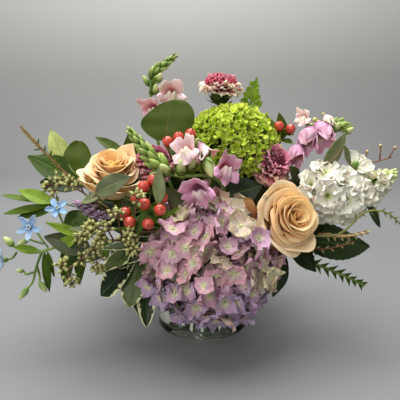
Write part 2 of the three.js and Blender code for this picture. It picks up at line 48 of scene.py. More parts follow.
CREASE = math.radians(55)  # edges sharper than this are not smoothed
PATH_STEPS = 120  # places on the fine route that buds are set along
MIDDLE = 0.5  # the middle of the across, tint and hue marks

VASE = {"radius": 50.0, "height": 95.0, "wall": 3.5, "floor": 6.0}
VASE_SIDES = 72
WATER_TOP = 68.0
FOOT_HEIGHT = 9.5  # where the cut stems end, just above the glass floor
MOUTH_HEIGHT = 101.0  # where the stems pass the rim
FOOT_SHARE = 0.62  # how far out a stem's foot stands, of how far out it passes the rim


# ---- small meshes ----------------------------------------------------------------------------------------
# Every vertex carries "growth" (across 0..1, along 0..1, tint, plus 1 on an underside) and "hue".
def clamp(value, high=1.0):
    return max(0.0, min(high, value))


def blank():
    bm = bmesh.new()
    bm.verts.layers.float_vector.new("growth")
    bm.verts.layers.float.new("hue")
    return bm


def closed(bm, finish=0):
    """The bmesh as a small mesh with its faces pointing outwards."""
    bmesh.ops.recalc_face_normals(bm, faces=bm.faces)
    for face in bm.faces:
        face.smooth = True
        face.material_index = finish
    mesh = bpy.data.meshes.new("part")
    bm.to_mesh(mesh)
    bm.free()
    return mesh


def sheet(shape, across, along, thick, tint=MIDDLE, hue=MIDDLE, finish=0):
    """A thin closed petal or leaf. shape(u, v) places it: u is -1 to 1 across, v 0 to 1 from base to tip."""
    bm = blank()
    growth = bm.verts.layers.float_vector["growth"]
    hues = bm.verts.layers.float["hue"]
    bmesh.ops.create_grid(bm, x_segments=across, y_segments=along, size=1)
    for vert in bm.verts:
        u, v = vert.co.x, (vert.co.y + 1) / 2
        vert[growth] = Vector((u / 2 + 0.5, v, tint))
        vert[hues] = hue(u, v) if callable(hue) else hue
        vert.co = Vector(shape(u, v))
    bm.normal_update()
    made = bmesh.ops.extrude_face_region(bm, geom=bm.faces[:])["geom"]
    for vert in made:
        if isinstance(vert, bmesh.types.BMVert):
            vert.co -= vert.normal * thick
            vert[growth] = vert[growth] + UP
    return closed(bm, finish)


def smooth_route(places, steps):
    """Evenly numbered places on one smooth curve through the given ones."""
    pts = [Vector(p) for p in places]
    pts = [2 * pts[0] - pts[1]] + pts + [2 * pts[-1] - pts[-2]]
    count = len(pts) - 3
    out = []
    for i in range(steps + 1):
        s = i / steps * count
        k = min(int(s), count - 1)
        t = s - k
        a, b, c, d = pts[k : k + 4]
        bend = (2 * a - 5 * b + 4 * c - d) * t * t
        out.append(0.5 * (2 * b + (c - a) * t + bend + (3 * b - a - 3 * c + d) * t**3))
    return out


def stalk(places, radius, end_radius, sides=8, tint=MIDDLE, finish=0, swell=None):
    """A stem: a ring carried along a smooth route, closed at both ends."""
    steps = 1 if len(places) == 2 else (len(places) - 1) * 4
    route = smooth_route(places, steps)
    bm = blank()
    growth = bm.verts.layers.float_vector["growth"]
    ring = bmesh.ops.create_circle(bm, cap_ends=False, segments=sides, radius=1)["verts"]
    edges = bm.edges[:]
    tangent = (route[1] - route[0]).normalized()
    turn = UP.rotation_difference(tangent).to_matrix().to_4x4()
    last = Matrix.Identity(4)
    for i, place in enumerate(route):
        t = i / steps
        size = radius + (end_radius - radius) * t
        if swell:
            size *= swell(t)
        ahead = (route[min(i + 1, steps)] - route[max(i - 1, 0)]).normalized()
        turn = tangent.rotation_difference(ahead).to_matrix().to_4x4() @ turn
        tangent = ahead
        here = Matrix.Translation(place) @ turn @ Matrix.Scale(size, 4)
        if i:
            made = bmesh.ops.extrude_edge_only(bm, edges=edges)["geom"]
            ring = [g for g in made if isinstance(g, bmesh.types.BMVert)]
            kept = set(ring)
            edges = [g for g in made if isinstance(g, bmesh.types.BMEdge) and set(g.verts) <= kept]
        bmesh.ops.transform(bm, matrix=here @ last.inverted(), verts=ring)
        for vert in ring:
            vert[growth] = Vector((MIDDLE, t, tint))
        last = here
    bmesh.ops.holes_fill(bm, edges=[e for e in bm.edges if e.is_boundary], sides=sides)
    return closed(bm, finish)


def bead(long, wide, sides=8, rings=6, tip=0.0, tint=MIDDLE, finish=0):
    """A berry, bud or seed standing on its base along +Z, with an optional drawn-out tip."""
    bm = blank()
    growth = bm.verts.layers.float_vector["growth"]
    hues = bm.verts.layers.float["hue"]
    bmesh.ops.create_uvsphere(bm, u_segments=sides, v_segments=rings, radius=1)
    for vert in bm.verts:
        t = (vert.co.z + 1) / 2
        narrow = 1 - tip * t**2
        vert[growth] = Vector((MIDDLE, t, tint))
        vert[hues] = MIDDLE
        vert.co = Vector((vert.co.x * wide * narrow, vert.co.y * wide * narrow, t * long))
    return closed(bm, finish)


def aim(place, facing, up=UP, size=1.0, spin=0.0):
    """Stands a small mesh at a place with its +Z along facing and its +Y towards up."""
    z = Vector(facing).normalized()
    y = Vector(up) - z * z.dot(Vector(up))
    if y.length < 1e-4:
        spare = Vector((0, 1, 0.01))
        y = spare - z * z.dot(spare)
    y.normalize()
    x = y.cross(z)
    turn = Matrix((x, y, z)).transposed().to_4x4()
    return Matrix.Translation(Vector(place)) @ turn @ Matrix.Rotation(spin, 4, "Z") @ Matrix.Scale(size, 4)


def spoke(angle):
    """The level way at an angle about +Z."""
    return Vector((math.cos(angle), math.sin(angle), 0))


def spokes(count, start=0.0):
    """Level ways spread evenly about +Z."""
    return [spoke(FULL_TURN * (k + start) / count) for k in range(count)]


def raised(out, lift):
    """A level way turned upwards, and the way the upper face of a petal along it looks."""
    return out * math.cos(lift) + UP * math.sin(lift), UP * math.cos(lift) - out * math.sin(lift)


def spiral_side(path, i, k):
    """At place i of a path, the way ahead and the sideways way of the k-th bud of a spiral."""
    ahead = (path[min(PATH_STEPS, i + 1)] - path[i - 1]).normalized()
    side = ahead.orthogonal().normalized()
    side.rotate(Matrix.Rotation(k * GOLDEN, 3, ahead))
    return ahead, side


def placed(name, data):
    """A new object in the scene."""
    thing = bpy.data.objects.new(name, data)
    bpy.context.scene.collection.objects.link(thing)
    return thing


def clear_away(meshes):
    for mesh in meshes:
        bpy.data.meshes.remove(mesh)


class Piece:
    """Small meshes gathered into one piece, in millimetres."""

    def __init__(self):
        self.bm = blank()

    def add(self, mesh, matrix=None):
        """Takes in a mesh that is used once."""
        if matrix is not None:
            mesh.transform(matrix)
        self.bm.from_mesh(mesh)
        bpy.data.meshes.remove(mesh)

    def add_copy(self, mesh, matrix, tint=None, hue=None):
        """Takes in a copy of a mesh that is used many times, with its own tint and hue."""
        copy = mesh.copy()
        if tint is not None:
            rows = np.zeros(len(copy.vertices) * 3, np.float32)
            copy.attributes["growth"].data.foreach_get("vector", rows)
            rows = rows.reshape(-1, 3)
            rows[:, 2] = np.floor(rows[:, 2]) + tint
            copy.attributes["growth"].data.foreach_set("vector", rows.ravel())
        if hue is not None:
            copy.attributes["hue"].data.foreach_set("value", np.full(len(copy.vertices), hue, np.float32))
        self.add(copy, matrix)

    def whole(self):
        """The gathered meshes as one small mesh to repeat."""
        mesh = bpy.data.meshes.new("cluster")
        self.bm.to_mesh(mesh)
        self.bm.free()
        return mesh

    def done(self, name, finishes, slot, *nodes):
        """Hands the piece over: to metres, smoothed, riding on the one body, standing for its CAD nodes."""
        bmesh.ops.scale(self.bm, vec=(MM, MM, MM), verts=self.bm.verts)
        mesh = bpy.data.meshes.new(name)
        self.bm.to_mesh(mesh)
        self.bm.free()
        for finish in finishes:
            mesh.materials.append(finish)
        mesh.set_sharp_from_angle(angle=CREASE)
        piece = placed(name, mesh)
        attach(piece, "root")
        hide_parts(*nodes)


# ---- finishes --------------------------------------------------------------------------------------------
UNDERSIDE = 0.9999  # a tint mark above this is on an underside
TINT_SPREAD = 23.0  # how far apart the streak patterns of two tints lie
LEAF_GLOW = (0.35, 1.0, 0.2)  # how far red, green and blue spread inside green tissue
SIDE_VEINS = 9.0  # pairs of side veins on a leaf


def paint(code):
    """A web colour as linear red, green, blue and 1."""
    parts = [int(code[i : i + 2], 16) / 255 for i in (0, 2, 4)]
    return tuple(p / 12.92 if p <= 0.04045 else ((p + 0.055) / 1.055) ** 2.4 for p in parts) + (1.0,)


def new_material(name):
    """A new material with its node tree and its Principled shader."""
    material = bpy.data.materials.new(name)
    material.use_nodes = True
    return material, material.node_tree, material.node_tree.nodes["Principled BSDF"]


def feed(tree, socket, value):
    """Sets a socket to a number or colour, or links another node's output to it."""
    if isinstance(value, str):
        value = paint(value)
    if isinstance(value, (int, float, tuple)):
        socket.default_value = value
    else:
        tree.links.new(value, socket)


def maths(tree, operation, *values):
    node = tree.nodes.new("ShaderNodeMath")
    node.operation = operation
    for socket, value in zip(node.inputs, values):
        feed(tree, socket, value)
    return node.outputs[0]


def cloud(tree, vector, scale, detail):
    """A noise pattern over the given coordinates."""
    node = tree.nodes.new("ShaderNodeTexNoise")
    feed(tree, node.inputs["Scale"], scale)
    node.inputs["Detail"].default_value = detail
    tree.links.new(vector, node.inputs["Vector"])
    return node.outputs["Fac"]


def ramp(tree, value, stops, interpolation="EASE"):
    """Colours along a value, each stop a place and a colour."""
    node = tree.nodes.new("ShaderNodeValToRGB")
    node.color_ramp.interpolation = interpolation
    stops = [(place, paint(colour) if isinstance(colour, str) else colour) for place, colour in stops]
    first, last = node.color_ramp.elements
    first.position, first.color = stops[0]
    last.position, last.color = stops[-1]
    for place, colour in stops[1:-1]:
        node.color_ramp.elements.new(place).color = colour
    tree.links.new(value, node.inputs[0])
    return node.outputs[0]


def growth_group():
    """Reads a piece's growth marks and adds the fine streaks and blotches that living tissue has."""
    tree = bpy.data.node_groups.new("growth_marks", "ShaderNodeTree")
    for name in ("Streak Across", "Streak Along", "Blotch Scale"):
        tree.interface.new_socket(name, in_out="INPUT", socket_type="NodeSocketFloat")
    for name in ("Side", "Along", "Tint", "Under", "Hue", "Streak", "Blotch"):
        tree.interface.new_socket(name, in_out="OUTPUT", socket_type="NodeSocketFloat")
    given = tree.nodes.new("NodeGroupInput").outputs
    out = tree.nodes.new("NodeGroupOutput")
    growth = tree.nodes.new("ShaderNodeAttribute")
    growth.attribute_name = "growth"
    hue = tree.nodes.new("ShaderNodeAttribute")
    hue.attribute_name = "hue"
    parts = tree.nodes.new("ShaderNodeSeparateXYZ")
    tree.links.new(growth.outputs["Vector"], parts.inputs[0])
    across, along, marked = parts.outputs
    side = maths(tree, "ABSOLUTE", maths(tree, "MULTIPLY", maths(tree, "SUBTRACT", across, MIDDLE), 2.0))
    under = maths(tree, "GREATER_THAN", marked, UNDERSIDE)
    tint = maths(tree, "SUBTRACT", marked, under)
    lines = tree.nodes.new("ShaderNodeCombineXYZ")
    spreads = (across, given["Streak Across"]), (along, given["Streak Along"]), (tint, TINT_SPREAD)
    for socket, (mark, spread) in zip(lines.inputs, spreads):
        tree.links.new(maths(tree, "MULTIPLY", mark, spread), socket)
    place = tree.nodes.new("ShaderNodeTexCoord")
    streak = cloud(tree, lines.outputs[0], 1.0, 3.0)
    blotch = cloud(tree, place.outputs["Object"], given["Blotch Scale"], 2.0)
    for value, socket in zip((side, along, tint, under, hue.outputs["Fac"], streak, blotch), out.inputs):
        tree.links.new(value, socket)
    return tree


GROWTH = growth_group()


class Finish:
    """A material built from the growth marks, with short helpers for ramps, mixes and bumps."""

    def __init__(self, name, streak, blotch, **settings):
        self.material, self.tree, self.shader = new_material(name)
        group = self.tree.nodes.new("ShaderNodeGroup")
        group.node_tree = GROWTH
        for socket, value in zip(group.inputs, (*streak, blotch)):
            socket.default_value = value
        self.marks = group.outputs
        for socket, value in settings.items():
            self.shader.inputs[socket.replace("_", " ")].default_value = value

    def maths(self, operation, *values):
        return maths(self.tree, operation, *values)

    def times(self, a, b):
        return self.maths("MULTIPLY", a, b)

    def less(self, a, b):
        return self.maths("SUBTRACT", a, b)

    def spread(self, value, kind="LINEAR", **ends):
        """A value moved from one range to another."""
        node = self.tree.nodes.new("ShaderNodeMapRange")
        node.interpolation_type = kind
        for socket, end in ends.items():
            node.inputs[socket.replace("_", " ")].default_value = end
        self.tree.links.new(value, node.inputs["Value"])
        return node.outputs[0]

    def mask(self, value, low, high):
        """0 to 1 while a value goes from low to high."""
        return self.spread(value, "SMOOTHSTEP", From_Min=low, From_Max=high)

    def mix(self, factor, a, b, blend="MIX"):
        node = self.tree.nodes.new("ShaderNodeMix")
        node.data_type = "RGBA"
        node.blend_type = blend
        for socket, value in ((0, factor), (6, a), (7, b)):
            feed(self.tree, node.inputs[socket], value)
        return node.outputs[2]

    def toned(self, colour, mark, stops, interpolation="EASE", amount=1.0):
        """A colour darkened and lightened by one of the marks."""
        return self.mix(amount, colour, ramp(self.tree, self.marks[mark], stops, interpolation), "MULTIPLY")

    def texture(self, scale, detail):
        place = self.tree.nodes.new("ShaderNodeTexCoord")
        return cloud(self.tree, place.outputs["Object"], scale, detail)

    def finished(self, colour, mark, rough, height, strength, distance):
        """Joins the colour, the roughness that follows a mark and the bump to the shader."""
        links, inputs = self.tree.links, self.shader.inputs
        links.new(colour, inputs["Base Color"])
        links.new(self.spread(self.marks[mark], To_Min=rough[0], To_Max=rough[1]), inputs["Roughness"])
        bump = self.tree.nodes.new("ShaderNodeBump")
        bump.inputs["Strength"].default_value = strength
        bump.inputs["Distance"].default_value = distance
        links.new(height, bump.inputs["Height"])
        links.new(bump.outputs[0], inputs["Normal"])
        return self.material


def petal_finish(name, along, variants, deep, streak=(16, 1.5), depth=0.25, soft=0.18, weight=0.55,
                 start=(0.1, 0.5), **more):
    """A petal: a ramp from base to rim, flower-to-flower variants by hue, veined streaks and blotches."""
    f = Finish(name, streak, 90, Subsurface_Weight=soft, Subsurface_Scale=0.003, Sheen_Weight=0.05,
               Specular_IOR_Level=0.22, **more)
    length, streaks = f.marks["Along"], f.marks["Streak"]
    varied = f.times(f.mask(length, *start), weight)
    colour = f.mix(varied, ramp(f.tree, length, along), ramp(f.tree, f.marks["Hue"], variants))
    colour = f.mix(f.times(f.mask(streaks, 0.42, 0.7), depth), colour, deep)
    colour = f.toned(colour, "Blotch", [(0.3, (0.88, 0.88, 0.88, 1)), (0.7, (1.06, 1.06, 1.06, 1))])
    # The tint mark darkens low tints and lightens high ones. It is random tone between petals and flowers,
    # and painted shade where a hydrangea's inner florets get low tints.
    colour = f.toned(colour, "Tint", [(0.0, (0.72, 0.72, 0.74, 1)), (1.0, (1.1, 1.09, 1.07, 1))], "LINEAR")
    return f.finished(colour, "Streak", (0.5, 0.68), streaks, 0.35, 0.0004)


def leaf_finish(name, blade, young, rib, under, gloss=(0.32, 0.5), rib_width=0.07, edge=None, vein_tone=0.5,
                streak=(5, 3), shine=0.25, blotches=0.6):
    """A leaf: blade colour varied leaf to leaf, a midrib with side veins set a little lower by the bump, and
    a paler underside.
    """
    f = Finish(name, streak, 150, Subsurface_Weight=0.06, Subsurface_Scale=0.002, Specular_IOR_Level=shine,
               Subsurface_Radius=LEAF_GLOW)
    side, along = f.marks["Side"], f.marks["Along"]
    body = f.mix(f.marks["Tint"], blade, young)
    patches = [(0.3, (0.72, 0.74, 0.7, 1)), (0.72, (1.18, 1.16, 1.12, 1))]
    body = f.toned(body, "Blotch", patches, amount=blotches)
    slant = f.less(f.times(along, SIDE_VEINS), f.times(side, 1.6))
    wave = f.maths("ABSOLUTE", f.maths("SINE", f.times(slant, math.pi)))
    vein = f.times(f.less(1.0, f.mask(wave, 0.0, 0.16)), f.less(1.0, f.mask(side, 0.5, 0.95)))
    midrib = f.less(1.0, f.mask(side, rib_width * 0.4, rib_width))
    lines = f.maths("MAXIMUM", f.times(vein, vein_tone), midrib)
    body = f.mix(f.times(lines, 0.75), body, rib)
    if edge:
        ragged = f.maths("ADD", side, f.times(f.less(f.marks["Streak"], 0.5), 1.3))
        tip = f.times(along, 0.14)
        body = f.mix(f.mask(f.maths("ADD", ragged, tip), 0.9, 0.97), body, edge)
    body = f.mix(f.times(f.marks["Under"], 0.6), body, under)
    return f.finished(body, "Blotch", gloss, f.less(f.marks["Blotch"], f.times(lines, 0.8)), 0.4, 0.0005)


def tissue_finish(name, low, high, spots, rough=(0.4, 0.6), scale=260, spot_amount=0.5, **settings):
    """Stems, buds, seeds and bark: two tones from base to tip, with spots and a fine bump."""
    f = Finish(name, (3, 14), scale * 0.4, **settings)
    body = f.mix(f.mask(f.marks["Along"], 0.1, 0.95), low, high)
    body = f.mix(f.times(f.mask(f.texture(scale, 3.0), 0.5, 0.66), spot_amount), body, spots)
    body = f.toned(body, "Tint", [(0.0, (0.75, 0.75, 0.75, 1)), (1.0, (1.2, 1.2, 1.15, 1))], "LINEAR")
    return f.finished(body, "Blotch", rough, f.texture(scale * 2, 2.0), 0.3, 0.0003)


MAUVE = petal_finish(
    "mauve_hydrangea_petal",
    [(0.0, "CCD68C"), (0.2, "E6DCB8"), (0.45, "DAB2BE"), (0.88, "D2A0B6"), (1.0, "F4D6E0")],
    [(0.0, "A49EC0"), (0.3, "C4A8C6"), (0.55, "E2B2C2"), (0.8, "F2B6BA"), (0.9, "E6D2B0"), (1.0, "D6DA9C")],
    "8A5C74", depth=0.46, weight=0.8, start=(0.18, 0.62),
)
LIME = petal_finish(
    "lime_hydrangea_petal",
    [(0.0, "4E6A08"), (0.35, "94B41C"), (0.75, "CCE23C"), (1.0, "F0F890")],
    [(0.0, "5E7C08"), (0.5, "B2CC22"), (1.0, "EAF464")],
    "7E9E12", depth=0.2, soft=0.1, weight=0.5, Subsurface_Radius=LEAF_GLOW,
)
PEACH = petal_finish(
    "peach_rose_petal",
    [(0.0, "F49A30"), (0.4, "FDB964"), (0.75, "FED098"), (0.95, "FFE6C4"), (1.0, "FED8AC")],
    [(0.0, "FCB648"), (0.45, "FDC680"), (1.0, "FFDAB0")],
    "F4A65C", streak=(22, 1.6), depth=0.06, soft=0.5, Subsurface_Radius=(1.0, 0.72, 0.48),
)
PLUM = petal_finish(
    "plum_scabiosa_petal",
    [(0.0, "822238"), (0.35, "BC4A66"), (0.75, "E2A6AE"), (1.0, "FBEBDC")],
    [(0.0, "8E1830"), (0.3, "BC2E4E"), (0.55, "D06A82"), (0.75, "E2B2B0"), (0.9, "F6E2C4"),
     (1.0, "FAECCE")],
    "9A344C",
)
CROWN = petal_finish(
    "rose_scabiosa_crown",
    [(0.0, "5E0C20"), (0.5, "A82A44"), (1.0, "D86C80")],
    [(0.0, "8E1830"), (0.5, "B83450"), (1.0, "D05C72")],
    "7A1830",
)
PINK = petal_finish(
    "pink_scabiosa_floret",
    [(0.0, "A03458"), (0.35, "DE7094"), (0.75, "F4B4C6"), (1.0, "FFF0EC")],
    [(0.0, "CC5A84"), (0.5, "E482A4"), (1.0, "F0AABE")],
    "B44C6E", depth=0.15,
)
BURGUNDY = tissue_finish("burgundy_scabiosa_bud", "2A0610", "6E1A30", "A84A60", scale=500)
LILAC = petal_finish(
    "lilac_snapdragon_petal",
    [(0.0, "C9C488"), (0.2, "B983A0"), (0.5, "C48AA6"), (0.85, "DCAEC0"), (1.0, "F2D8DC")],
    [(0.0, "B472A0"), (0.4, "CB92B2"), (0.7, "F8D2D4"), (0.85, "FFE6E0"), (1.0, "FBEED0")],
    "A8688E", depth=0.22, weight=0.8,
)
CREAM_LIP = tissue_finish("cream_snapdragon_lip", "E8D2C4", "F4E6CE", "E0B0B8", rough=(0.55, 0.7),
                          spot_amount=0.3)
WHITE = petal_finish(
    "white_stock_petal",
    [(0.0, "A8BC5C"), (0.18, "D8DCAC"), (0.5, "E9E4D2"), (1.0, "F3EEE0")],
    [(0.0, "D4DC9C"), (0.4, "F0EAD8"), (1.0, "FAF7EC")],
    "D2CEB4", depth=0.15, soft=0.12,
)
SKY = petal_finish(
    "blue_tweedia_petal",
    [(0.0, "2E5E9E"), (0.25, "7CAEDE"), (1.0, "BCDAF0")],
    [(0.0, "94B8DE"), (0.6, "BAD6EC"), (1.0, "E0EAF2")],
    "3F72B4", streak=(7, 1.0), depth=0.4,
)
LAVENDER = petal_finish(
    "lavender_floret",
    [(0.0, "8E7696"), (1.0, "CCB4CC")],
    [(0.0, "A084A8"), (1.0, "DCC4D8")],
    "8E7698",
)
STEM = tissue_finish("green_stem", "4E6A22", "708C34", "3A521C", rough=(0.35, 0.5))
SNAP_STEM = tissue_finish("snapdragon_stem", "56742A", "86A244", "45642A", rough=(0.4, 0.55))
BUD = tissue_finish("green_bud", "44661A", "A4B85A", "6E8E34", rough=(0.4, 0.55), scale=200,
                    spot_amount=0.35)
PALE_BUD = tissue_finish("pale_bud", "68883A", "C8D08E", "98AA5A", rough=(0.45, 0.6), scale=160,
                         spot_amount=0.3)
EYE = tissue_finish("floret_eye", "B9C47C", "E4E0B4", "8E9E58", scale=700)
BLUE_EYE = tissue_finish("tweedia_eye", "1E4488", "DCE6EE", "2F5CA0", scale=900, spot_amount=0.2)
BERRY = tissue_finish(
    "coral_berry", "AE2E22", "DA5644", "9C281A", rough=(0.16, 0.3), scale=180, spot_amount=0.4,
    Coat_Weight=0.4, Coat_Roughness=0.12, Subsurface_Weight=0.1, Subsurface_Scale=0.003,
)
BERRY_TIP = tissue_finish("berry_tip", "5A2018", "3A1610", "2A0E0A", scale=600)
SEED = tissue_finish("eucalyptus_seed", "645E2C", "C2C47E", "6E5A30", rough=(0.45, 0.65), scale=420,
                     spot_amount=0.45)
SEED_TWIG = tissue_finish("seed_twig", "6A4C38", "8C6C4C", "4C3426", scale=500)
TWIG = tissue_finish("brown_twig", "5A3422", "8C5A34", "3C2216", rough=(0.55, 0.75), scale=420)
TAN_TWIG = tissue_finish("tan_twig", "8A6A3A", "D8C48C", "7A4A2A", rough=(0.55, 0.75), scale=420)
MOSS_TWIG = tissue_finish("mossy_twig", "6A6A34", "8C8C4C", "4A4424", rough=(0.5, 0.7), scale=420)
DRY = tissue_finish("dried_petal", "8A5A30", "CE9A62", "6E4426", rough=(0.6, 0.8), scale=300)
DARK_LEAF = leaf_finish("dark_leaf", "152606", "384E0C", "3E5620", "566C2C", gloss=(0.3, 0.45), shine=0.28)
OLIVE_LEAF = leaf_finish("olive_round_leaf", "34460A", "586A0E", "66601C", "6E7A3C", gloss=(0.42, 0.58),
                         vein_tone=0.3, rib_width=0.03, blotches=0.3)
GREY_LEAF = leaf_finish("grey_eucalyptus_leaf", "363E22", "7A8256", "7C7C52", "88906A", gloss=(0.45, 0.6),
                        vein_tone=0.2, rib_width=0.05)
FRESH_LEAF = leaf_finish("fresh_leaf", "22360A", "86A432", "5C7A2C", "6E8440", gloss=(0.38, 0.52),
                         vein_tone=0.3, shine=0.14)
PALE_LEAF = leaf_finish("pale_young_leaf", "8CA048", "B8C074", "8E9A4C", "A6B070", gloss=(0.4, 0.55),
                        vein_tone=0.4)
CREAM_LEAF = leaf_finish("cream_edged_leaf", "14260A", "5A6A36", "42582A", "869066", gloss=(0.3, 0.45),
                         edge="DEDDAE", vein_tone=0.3, streak=(3, 13))


def clear_finish(name, tone, ior):
    """Clear glass or water that lets the lamps through to what stands in it."""
    material, tree, shader = new_material(name)
    settings = {"Base Color": paint(tone), "Roughness": 0.0, "Transmission Weight": 1.0, "IOR": ior}
    for socket, value in settings.items():
        shader.inputs[socket].default_value = value
    rays = tree.nodes.new("ShaderNodeLightPath")
    through = tree.nodes.new("ShaderNodeBsdfTransparent")
    through.inputs["Color"].default_value = paint(tone)
    blend = tree.nodes.new("ShaderNodeMixShader")
    joined = rays.outputs["Is Shadow Ray"], shader.outputs[0], through.outputs[0]
    for value, socket in zip(joined, blend.inputs):
        tree.links.new(value, socket)
    tree.links.new(blend.outputs[0], tree.nodes["Material Output"].inputs["Surface"])
    return material


GLASS = clear_finish("clear_glass", "F8FBF3", 1.5)
WATER = clear_finish("still_water", "FDFEFE", 1.33)


# ---- petals and leaves -----------------------------------------------------------------------------------
PETAL_FOOT = 0.12  # a petal's width at its base, as a share of its widest


def rounded(v, full, blunt, end):
    """The half width of a petal along its length: narrow base, widest at `full`, blunt end."""
    rise = PETAL_FOOT + (1 - PETAL_FOOT) * math.sin(min(1.0, v / full) * math.pi / 2)
    fall = max(end, 1 - max(0.0, (v - full) / (1 - full)) ** blunt)
    return rise * fall**0.6


def flat_petal(length, width, cup=0.2, fold=0.0, ruffle=0.0, seed=0, full=0.6, blunt=4.0, lift=0.0,
               point=0.06, end=0.02):
    """A petal lying along +Y with its face to +Z, cupped up at its sides and ruffled at its rim."""

    def shape(u, v):
        half = width / 2 * rounded(v, full, blunt, end)
        wave = noise.noise(Vector((u * 1.7 + seed * 7.1, v * 2.3, seed * 3.3)))
        z = lift * v + length * cup * v * v + half * fold * u * u + ruffle * wave * v
        return (half * u, length * v * (1 - point * u * u), z)

    return shape


def floret(petals, length, width, rng, thick=0.35, steps=(4, 4), eye=1.0, cups=(-0.25, 0.35),
           folds=(-0.5, 0.3), end=0.02):
    """A hydrangea floret facing +Z, with a bead of the given size for its eye."""
    piece = Piece()
    closing = rng.uniform(*cups)
    for k in range(petals):
        shape = flat_petal(
            length * rng.uniform(0.82, 1.1),
            width * rng.uniform(0.82, 1.1),
            cup=closing + rng.uniform(-0.15, 0.15),
            fold=rng.uniform(*folds),
            ruffle=length * 0.42,
            seed=rng.random() * 50,
            full=0.6,
            blunt=2.8,
            lift=rng.uniform(0.0, 0.12) * length + (0.7 if k % 2 else 0.0),
            point=0.2,
            end=end,
        )
        mesh = sheet(shape, *steps, thick)
        turn = Matrix.Rotation(FULL_TURN * k / petals + rng.uniform(-0.2, 0.2), 4, "Z")
        piece.add(mesh, turn)
    if eye:
        centre = bead(eye * 1.4, eye, 6, 4, finish=1)
        piece.add(centre, Matrix.Translation((0, 0, 0.2)))
    return piece.whole()


def leaf_mesh(base, tip, width, face, arch=0.0, outline="pointed", fold=0.18, wave=0.05, saw=0.0,
              tint=MIDDLE, seed=0, finish=0, steps=(6, 16), thick=0.5, shear=0.0):
    """A leaf from base to tip in place: its upper side looks along face and arch bends its tip away."""
    base, tip = Vector(base), Vector(tip)
    along = tip - base
    length = along.length
    along.normalize()
    normal = Vector(face).normalized()
    normal = (normal - along * normal.dot(along)).normalized()
    across = along.cross(normal)
    half = width / 2

    def profile(v):
        if outline == "round":
            return max(0.04, (max(0.0, math.sin(math.pi * min(1.0, v * 0.93 + 0.05)))) ** 0.55)
        if outline == "tooth":
            return max(0.04, 1 - v)
        if outline == "narrow":
            return max(0.05, math.sin(math.pi * v) ** 0.75)
        if outline == "wide_tip":
            return max(0.05, math.sin(math.pi * v**1.35) ** 0.62)
        return max(0.05, (math.sin(math.pi * v**0.8)) ** 0.85)

    def shape(u, v):
        teeth = 1 + saw * (abs(math.sin(v * 34)) - 0.5) * (abs(u) > 0.7) * (0.12 < v < 0.92)
        side = half * profile(v) * u * teeth
        ripple = noise.noise(Vector((u * 0.9 + seed, v * 3.1, seed * 1.7))) * wave * width
        ripple += wave * 0.5 * width * math.sin(v * 9 + seed) * abs(u) ** 2
        lift = fold * abs(side) + ripple - arch * v * v
        return base + along * (length * v + shear * side * v) + across * side + normal * lift

    return sheet(shape, *steps, thick, tint=tint, finish=finish)


def rooted(angle, ring, places):
    """A stem's route: up from a foot in the water, past the rim at an angle in degrees, on to the places."""
    x, y = math.cos(math.radians(angle)), math.sin(math.radians(angle))
    foot = ring * FOOT_SHARE
    return [(foot * x, foot * y, FOOT_HEIGHT), (ring * x, ring * y, MOUTH_HEIGHT), *places]


def nearest(route, place):
    """The place on a stem's route that is nearest to the given one."""
    place = Vector(place)
    return min(smooth_route(route, 60), key=lambda p: (p - place).length)


# ---- vase and water --------------------------------------------------------------------------------------
def spun_piece(profile, name, finish, slot, node):
    """Spins a profile of radius and height about the vase's axis."""
    bm = blank()
    verts = [bm.verts.new((r, 0, z)) for r, z in profile]
    edges = [bm.edges.new(pair) for pair in zip(verts, verts[1:])]
    bmesh.ops.spin(bm, geom=verts + edges, cent=(0, 0, 0), axis=(0, 0, 1), angle=FULL_TURN,
                   steps=VASE_SIDES, use_merge=True)
    bmesh.ops.remove_doubles(bm, verts=bm.verts, dist=1e-4)
    piece = Piece()
    piece.add(closed(bm))
    piece.done(name, [finish], slot, node)


def arc(cx, cz, radius, start, end, count):
    """Places on a rounded corner of a spun profile, by angle in degrees."""
    angles = [math.radians(start + (end - start) * i / count) for i in range(count + 1)]
    return [(cx + radius * math.cos(a), cz + radius * math.sin(a)) for a in angles]


def make_vase():
    """A short cylinder with a recessed underside, a rounded foot and a rounded rim."""
    outer, top = VASE["radius"], VASE["height"]
    inner, floor = outer - VASE["wall"], VASE["floor"]
    lip = VASE["wall"] / 2
    profile = [(0, 3.0), (outer - 13, 2.6), (outer - 8, 0.0)]
    profile += arc(outer - 2.5, 2.5, 2.5, -90, 0, 4)
    profile += [(outer, 30), (outer, 60)]
    profile += arc(outer - lip, top - lip, lip, 0, 180, 6)
    profile += [(inner, 60), (inner, 30)]
    profile += arc(inner - 5, floor + 5, 5, 0, -90, 5)
    profile += [(inner - 20, floor - 0.4), (0, floor - 0.8)]
    spun_piece(profile, "vase", GLASS, "clear_glass", "glass_vase")


def make_water():
    """The water, a little into the glass so no gap shows, with its top edge drawn up the wall."""
    wet, low = VASE["radius"] - VASE["wall"] + 0.05, VASE["floor"] - 0.1
    profile = [(0, low - 0.5), (wet - 20, low)]
    profile += arc(wet - 5, low + 5.2, 5, -90, 0, 5)
    profile += [(wet, WATER_TOP - 2)]
    profile += arc(wet - 2.2, WATER_TOP + 1.4, 2.2, 0, -90, 4)
    profile += [(0, WATER_TOP - 0.8)]
    spun_piece(profile, "vase_water", WATER, "water", "water")


# ---- hydrangeas ------------------------------------------------------------------------------------------
ARM_RADIUS = 0.55  # of a floret's own stalk


